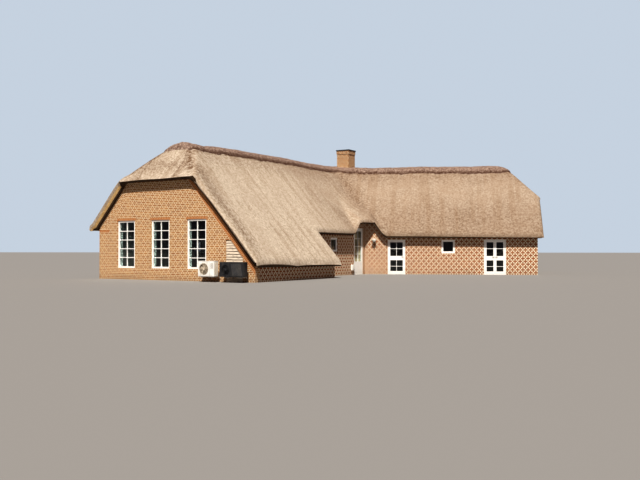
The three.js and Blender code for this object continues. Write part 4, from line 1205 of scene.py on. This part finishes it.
for label, left, right in (("left", 0.135, 0.558), ("right", 0.572, 0.995)):
    along = np.linspace(left, right, 9 * 14 + 1)
    drop = np.linspace(0.0, 1.0, 22)[:, None]
    swing = np.sin(math.tau * (along - left) / FOLD + 0.5 * np.sin(5 * drop + 9 * along))
    deep = FOLD_DEPTH * (0.75 + 0.35 * drop) * swing
    level = ROD_LEVEL + HEADING - CURTAIN_DROP * drop
    cloth = door_point(along, ROD_DEPTH + 0.006 + deep, level)
    faces = grid_faces(*cloth.shape[:2]).tolist()
    curtain = new_piece("entrance_curtain_" + label, cloth.reshape(-1, 3), faces, [curtain_cloth])
    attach(curtain, "entrance_door")


# Boarded opening: feather-edged boards, 126 mm to the weather, nailed over a closed opening beside the
# gable's right verge; painted pale once and greyed, with painted shade along their laps where each board
# shades the one below.
PANEL_LEFT, PANEL_RIGHT, PANEL_TOP = 3.983, 4.927, 1.887
CUT_LEVEL, CUT_SHIFT, BOARD_PITCH = 1.09, 0.66 / 0.80, 0.126


def board_end(z):
    """Right end of the boarding at height z: upright, then cut back along the verge."""
    return PANEL_RIGHT - CUT_SHIFT * np.maximum(z - CUT_LEVEL, 0)


def wing_points(u, t, z):
    """Points across and along the west wing, at height z."""
    u, t, z = np.broadcast_arrays(u, t, z)
    return np.concatenate([wing_plan(u, t), z[..., None]], -1)


def board(low, high):
    """A tapered board from low to high: 27 mm at its lower edge and 15 mm at its upper."""
    t = np.array([16.058, 16.0825, 16.0850, 16.0845, 16.0500, 16.0350])
    z = np.array([low, low, low + 0.0025, low + 0.008, high, high])
    share = np.linspace(0, 1, 7)[:, None]
    return carried(wing_points(PANEL_LEFT * (1 - share) + board_end(z) * share, t, z))


panel_boards, tree, shader = new_material("panel_boards")
here = own_place(tree)
up = height_of(tree, here)
grain = noise(tree, stretched(tree, here, (3.0, 3.0, 120.0)), 1.0, 4.0, 0.65)
flaked = noise(tree, stretched(tree, here, (4.0, 4.0, 14.0)), 1.0, 5.0, 0.7)
lap = calc(tree, "FRACT", calc(tree, "DIVIDE", up, BOARD_PITCH))
# Painted shade: dark bands at each lap, under the lip of the board above.
painted_lap_shade = calc(
    tree, "MAXIMUM", ramp(tree, lap, 0.80, 1.0, 0.0, 0.45), ramp(tree, lap, 0.0, 0.10, 0.30, 0.0)
)
# worn joins this painted lap shade with real flaking of the paint.
worn = calc(tree, "MAXIMUM", painted_lap_shade, ramp(tree, flaked, 0.50, 0.66, 0.0, 0.7))
tone = mixed(tree, ramp(tree, grain, 0.35, 0.7), (0.80, 0.70, 0.57, 1.0), (0.64, 0.54, 0.43, 1.0))
tone = mixed(tree, worn, tone, (0.20, 0.15, 0.115, 1.0))
tree.links.new(tone, shader.inputs["Base Color"])
shader.inputs["Roughness"].default_value = 0.85
tree.links.new(relief(tree, grain, 0.0015, 0.7), shader.inputs["Normal"])
backing_u = np.array([PANEL_LEFT, PANEL_LEFT, board_end(PANEL_TOP), PANEL_RIGHT, PANEL_RIGHT])
backing_z = np.array([0.0, PANEL_TOP, PANEL_TOP, CUT_LEVEL, 0.0])
board_parts = [(*carried([wing_points(backing_u, t, backing_z) for t in (16.026, 16.034)]), 0)]
for low in np.arange(0.0, PANEL_TOP - 0.05, BOARD_PITCH):
    board_parts.append((*board(low, min(low + 0.142, PANEL_TOP)), 0))
boarding = joined_piece("lapped_boards", [panel_boards], board_parts)
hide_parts("boarded_panel")
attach(boarding, "house")


# Heat pumps: two outdoor units of folded, powder-coated sheet steel, one white and one
# black, each with a wire-guarded fan, on steel arms bolted to the gable.
UNIT_FRONT, UNIT_FOOT, WIRE = 16.75, 0.25, 0.0032


def rounded_ring(u_low, u_high, z_low, z_high, corner, sides=12):
    """A rectangle with rounded corners, as (u, z) points counted round from its right foot."""
    turn = np.linspace(0, math.pi / 2, sides)
    quarters = []
    for k, (u, z) in enumerate((
        (u_high - corner, z_low + corner), (u_high - corner, z_high - corner),
        (u_low + corner, z_high - corner), (u_low + corner, z_low + corner),
    )):
        angle = turn + (k - 1) * math.pi / 2
        quarters.append(np.stack([u + corner * np.cos(angle), z + corner * np.sin(angle)], -1))
    ring = np.concatenate(quarters)
    ends = np.roll(ring, -1, 0)
    steps = np.maximum(1, np.round(np.linalg.norm(ends - ring, axis=1) / 0.03).astype(int))
    return np.concatenate([
        a + (b - a) * np.linspace(0, 1, n, endpoint=False)[:, None] for a, b, n in zip(ring, ends, steps)
    ])


def inset_rings(outline, low, high, insets):
    """Copies of an outline drawn in evenly by each inset towards the middle of its box."""
    middle, half = (np.array(low) + high) / 2, (np.array(high) - low) / 2
    return [middle + (outline - middle) * (1 - inset / half) for inset in insets]


def block(u_low, u_high, t_low, t_high, z_low, z_high, soft=0.004, corner=0.006):
    """A block with rounded corners all round, carried from its back to its front."""
    outline = rounded_ring(u_low, u_high, z_low, z_high, corner, 4)
    insets = (soft, 0.3 * soft, 0, 0, 0.3 * soft, soft)
    depths = (t_low, t_low + 0.3 * soft, t_low + soft, t_high - soft, t_high - 0.3 * soft, t_high)
    rings = inset_rings(outline, (u_low, z_low), (u_high, z_high), insets)
    return carried([wing_points(ring[:, 0], t, ring[:, 1]) for ring, t in zip(rings, depths)])


def fan_casing(u_low, u_high, t_low, t_high, z_low, z_high, centre, radius):
    """A folded steel casing: rounded edges, flat front, and a bell mouth sunk round the fan.
    Its rings go round the back edge, the sides, the front edge, then narrow to a circle."""
    outline = rounded_ring(u_low, u_high, z_low, z_high, 0.022)
    insets = (0.008, 0.002, 0, 0, 0.003, 0.010)
    depths = (t_low, t_low + 0.002, t_low + 0.008, t_high - 0.010, t_high - 0.003, t_high)
    edges = inset_rings(outline, (u_low, z_low), (u_high, z_high), insets)
    rings = [wing_points(ring[:, 0], t, ring[:, 1]) for ring, t in zip(edges, depths)]
    spoke = outline - centre
    spoke /= np.linalg.norm(spoke, axis=1)[:, None]
    for reach, depth in ((0.012, 0), (0.004, 0.001), (0.0, 0.006), (-0.004, 0.020), (-0.006, 0.085)):
        ring = centre + spoke * (radius + reach)
        rings.append(wing_points(ring[:, 0], t_high - depth, ring[:, 1]))
    points, faces = carried(rings)
    size = len(outline)
    # The sunk tube of the mouth takes the second finish, a darker tone: painted shade inside the mouth.
    kinds = [0] * (9 * size) + [1] * size + [0, 1] * size
    return points, faces, kinds


def round_about(centre, reach, angle, t):
    """Points at a reach and angle round a centre in the gable's plane, at t along the wing."""
    return wing_points(centre[0] + reach * np.cos(angle), t, centre[1] + reach * np.sin(angle))


def fan(centre, radius, t):
    """Five raked blades on a domed hub: each blade is a flat lens carried out from the hub,
    turning from 38 to 22 degrees and widening to its tip."""
    parts = []
    lens = np.linspace(0, math.tau, 12, endpoint=False)
    for start in np.arange(5) * math.tau / 5:
        rings = []
        for share in np.linspace(0, 1, 6):
            reach = radius * (0.20 + 0.72 * share)
            rake = math.radians(38 - 16 * share)
            chord = radius * (0.17 + 0.15 * share)
            along = chord * np.cos(lens)
            proud = 0.003 * np.sin(lens)
            angle = start + 0.35 * share + (along * math.cos(rake) - proud * math.sin(rake)) / reach
            out = along * math.sin(rake) + proud * math.cos(rake)
            rings.append(round_about(centre, reach, angle, t + out))
        parts.append((*carried(rings), 2))
    turn = np.linspace(0, math.tau, 28, endpoint=False)
    hub = [
        round_about(centre, r * radius, turn, t + out)
        for r, out in ((0.20, -0.02), (0.22, -0.01), (0.22, 0.018), (0.17, 0.028), (0.08, 0.032))
    ]
    return parts + [(*carried(hub), 2)]


def wire_guard(centre, radius, t, kind):
    """Concentric wires on eight radial ones, round a plain disc."""
    parts = []
    for reach in np.linspace(0.26, 1.03, 9) * radius:
        turn = np.linspace(0, math.tau, 49)[:-1]
        small = np.linspace(0, math.tau, 6, endpoint=False)
        wide = reach + WIRE * np.cos(small)
        ring = round_about(centre, wide, turn[:, None], t + WIRE * np.sin(small)).reshape(-1, 3)
        i, j = np.meshgrid(np.arange(48), np.arange(6), indexing="ij")
        follow = (i + 1) % 48
        faces = np.stack([i * 6 + j, i * 6 + (j + 1) % 6, follow * 6 + (j + 1) % 6, follow * 6 + j], -1)
        parts.append((ring, outward(ring - ring.mean(0), faces.reshape(-1, 4).tolist()), kind))
    for angle in np.arange(8) * math.tau / 8 + 0.2:
        reach = np.linspace(0.16, 1.04, 5) * radius
        spoke = round_about(centre, reach, angle, t - 0.004)
        parts.append((*round_bar(spoke, 0.0035, 6), kind))
    turn = np.linspace(0, math.tau, 28, endpoint=False)
    disc = [
        round_about(centre, r, turn, t + out)
        for r, out in ((0.21 * radius, -0.004), (0.22 * radius, 0.0), (0.20 * radius, 0.004))
    ]
    return parts + [(*carried(disc), kind)]


def arms(spots, wall_gaps):
    """A pair of steel brackets: a level arm and an upright plate on the wall, rounded, with
    rubber feet between arm and casing."""
    parts = []
    for u, gap in zip(spots, wall_gaps):
        sides = u - 0.02, u + 0.02
        arm = block(*sides, 16.105 + gap, 16.71, UNIT_FOOT - 0.040, UNIT_FOOT - 0.008, 0.003)
        plate = block(*sides, 16.101 + gap, 16.130, UNIT_FOOT - 0.100, UNIT_FOOT + 0.280, 0.003)
        parts += [(*arm, 3), (*plate, 3)]
        sides = u - 0.017, u + 0.017
        for t in (UNIT_FRONT - 0.28, UNIT_FRONT - 0.07):
            foot = block(*sides, t - 0.017, t + 0.017, UNIT_FOOT - 0.010, UNIT_FOOT + 0.004, 0.002)
            parts.append((*foot, 1))
    return parts


def coated(name, colour, shade, rough):
    """Powder-coated sheet steel: fine orange peel, and dust washed down its faces."""
    made, tree, shader = new_material(name)
    here = own_place(tree)
    washed = noise(tree, stretched(tree, here, (5.0, 5.0, 1.5)), 1.0, 5.0, 0.65)
    fill_inputs(tree, shader, {
        "Base Color": mixed(tree, ramp(tree, washed, 0.42, 0.72, 0.0, 0.6), colour, shade),
        "Roughness": rough,
        "Normal": relief(tree, noise(tree, here, 220.0, 2.0), 0.0003, 0.4),
    })
    return made


white_coat = coated("white_coat", (0.86, 0.86, 0.82, 1.0), (0.62, 0.58, 0.50, 1.0), 0.38)
black_coat = coated("black_coat", (0.035, 0.036, 0.040, 1.0), (0.10, 0.092, 0.08, 1.0), 0.45)
fan_dark = coated("fan_dark", (0.035, 0.033, 0.03, 1.0), (0.09, 0.08, 0.065, 1.0), 0.6)
# fan_shade is painted shade for the inside of the white unit's fan mouth, its seam line and louvre bars;
# the rubber feet use it as their own colour.
fan_shade = coated("fan_shade", (0.22, 0.185, 0.14, 1.0), (0.16, 0.13, 0.095, 1.0), 0.6)
rib_grey = coated("rib_grey", (0.13, 0.13, 0.135, 1.0), (0.17, 0.16, 0.14, 1.0), 0.5)
fan_grey = coated("fan_grey", (0.56, 0.49, 0.40, 1.0), (0.40, 0.33, 0.25, 1.0), 0.5)
guard_beige = coated("guard_beige", (0.72, 0.63, 0.50, 1.0), (0.50, 0.42, 0.31, 1.0), 0.45)
arm_steel = coated("arm_steel", (0.50, 0.50, 0.49, 1.0), (0.30, 0.27, 0.23, 1.0), 0.42)

white_fan = np.array([3.222, 0.585])
white_parts = [fan_casing(2.893, 3.807, 16.424, 16.738, 0.252, 0.930, white_fan, 0.250)]
white_parts.append((*block(2.890, 3.810, 16.420, 16.744, 0.932, 0.953, 0.005, 0.008), 0))
white_parts += fan(white_fan, 0.238, 16.690)
white_parts += wire_guard(white_fan, 0.250, 16.744, 4)
# A seam line and eight louvre bars in the dark finish: painted shade standing for the gaps.
white_parts.append((*block(3.560, 3.566, 16.735, 16.7395, 0.262, 0.922, 0.001, 0.001), 1))
for level in np.linspace(0.62, 0.84, 8):
    white_parts.append((*block(3.610, 3.770, 16.735, 16.7425, level, level + 0.008, 0.002, 0.002), 1))
for t in np.linspace(16.49, 16.68, 9):
    white_parts.append((*block(3.804, 3.811, t, t + 0.008, 0.33, 0.85, 0.002, 0.002), 4))
white_parts += arms((3.05, 3.65), (0.0, 0.0))
white_finishes = [white_coat, fan_shade, fan_grey, arm_steel, guard_beige]
white_unit = joined_piece("white_unit", white_finishes, white_parts)
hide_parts("heat_pump_white")
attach(white_unit, "house")

black_fan = np.array([4.446, 0.560])
black_parts = [fan_casing(4.115, 5.387, 16.374, 16.736, 0.252, 0.886, black_fan, 0.215)]
black_parts.append((*block(4.112, 5.390, 16.370, 16.744, 0.888, 0.909, 0.005, 0.008), 0))
black_parts += fan(black_fan, 0.204, 16.690)
black_parts += wire_guard(black_fan, 0.215, 16.744, 0)
for start in np.linspace(4.76, 5.24, 9):
    slant = np.linspace(0, 1, 7)
    rib = wing_points(start + 0.10 * (1 - slant), 16.7385, 0.31 + 0.52 * slant)
    black_parts.append((*round_bar(rib, 0.0075, 8), 4))
black_parts.append((*block(4.700, 4.706, 16.733, 16.7375, 0.262, 0.880, 0.001, 0.001), 1))
black_parts += arms((4.40, 5.16), (0.005, 0.0))
black_finishes = [black_coat, fan_dark, black_coat, arm_steel, rib_grey]
black_unit = joined_piece("black_unit", black_finishes, black_parts)
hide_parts("heat_pump_black")
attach(black_unit, "house")


# Service box: a small moulded meter cupboard on the nook wall beside the door, with a lid
# that overhangs its body, a pair of dark vents and a round lock.
def nook_block(t_low, t_high, out_low, out_high, z_low, z_high, soft=0.003):
    """A rounded block on the nook wall: t along the wing, out from the wall's face."""
    corner = min(0.012, 0.3 * (z_high - z_low))
    outline = rounded_ring(t_low, t_high, z_low, z_high, corner, 6)
    depths = (out_low, out_high - soft, out_high - 0.3 * soft, out_high)
    rings = inset_rings(outline, (t_low, z_low), (t_high, z_high), (0, 0, 0.3 * soft, soft))
    return carried([
        wing_points(NOOK_FACE + out, ring[:, 0], ring[:, 1]) for ring, out in zip(rings, depths)
    ])


box_parts = [(*nook_block(4.266, 4.534, 0.0, 0.078, 0.258, 0.592), 0)]
box_parts.append((*nook_block(4.260, 4.540, 0.062, 0.090, 0.255, 0.595, 0.006), 0))
# The vents are two thin bars in a dark finish: painted shade standing for their slots.
for level in (0.286, 0.304):
    box_parts.append((*nook_block(4.285, 4.345, 0.088, 0.0915, level, level + 0.009, 0.001), 1))
turn = np.linspace(0, math.tau, 20, endpoint=False)
lock = [
    wing_points(NOOK_FACE + out, 4.288 + r * np.cos(turn), 0.43 + r * np.sin(turn))
    for r, out in ((0.010, 0.086), (0.010, 0.0935), (0.007, 0.0945))
]
box_parts.append((*carried(lock), 2))
meter_box = joined_piece("meter_box", [white_coat, fan_dark, arm_steel], box_parts)
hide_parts("service_box")
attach(meter_box, "house")


# Wall lamp: an opal glass globe in a dark cup, carried by a bent arm on a round plate that
# is screwed to the corner wall, right of the entrance.
GLOBE, GLOBE_RADIUS = np.array([3.336, -4.385, 1.997]), 0.125


def turned(profile, centre):
    """A profile of (radius, height) turned about the upright line through centre."""
    angle = np.linspace(0, math.tau, 36, endpoint=False)
    circle = np.stack([np.cos(angle), np.sin(angle), np.zeros(36)], -1)
    return carried([centre + r * circle + [0.0, 0.0, h] for r, h in profile])


opal, tree, shader = new_material("opal_glass")
# Painted shade: the opal globe is toned grey-beige instead of white.
cloudy = noise(tree, own_place(tree), 9.0, 4.0)
tree.links.new(
    mixed(tree, ramp(tree, cloudy, 0.35, 0.7), (0.66, 0.63, 0.57, 1.0), (0.52, 0.48, 0.42, 1.0)),
    shader.inputs["Base Color"],
)
fill_inputs(tree, shader, {"Roughness": 0.22, "Subsurface Weight": 0.15})
lamp_metal = coated("lamp_metal", (0.07, 0.062, 0.055, 1.0), (0.16, 0.13, 0.10, 1.0), 0.4)
latitude = np.linspace(-1.18, 1.54, 26)
globe = turned(np.stack([GLOBE_RADIUS * np.cos(latitude), GLOBE_RADIUS * np.sin(latitude)], -1), GLOBE)
cup = turned(
    ((0.020, -0.150), (0.034, -0.149), (0.052, -0.140), (0.064, -0.122), (0.070, -0.100), (0.0715, -0.092),
     (0.066, -0.094), (0.050, -0.110)), GLOBE,
)
plate_turn = np.linspace(0, math.tau, 32, endpoint=False)
plate = carried([
    np.stack([GLOBE[0] + r * np.cos(plate_turn), np.full(32, y), GLOBE[2] + r * np.sin(plate_turn)], -1)
    for r, y in ((0.050, -4.200), (0.050, -4.216), (0.046, -4.222), (0.034, -4.224))
])
bend = np.linspace(0, math.pi / 2, 9)
arm_y = np.concatenate([[-4.222, -4.232, -4.236], -4.237 - 0.060 * (1 - np.cos(bend)), [-4.345, -4.375]])
arm_drop = np.concatenate([[0.0, 0.004, 0.02], 0.080 + 0.055 * np.sin(bend), [0.137, 0.139]])
arm_path = np.stack([np.full(len(arm_y), GLOBE[0]), arm_y, GLOBE[2] - arm_drop], -1)
arm = round_bar(arm_path, 0.009, 12)
lamp = joined_piece(
    "globe_lamp", [opal, lamp_metal], [(*globe, 0), (*cup, 1), (*plate, 1), (*arm, 1)]
)
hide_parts("wall_lamp")
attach(lamp, "house")
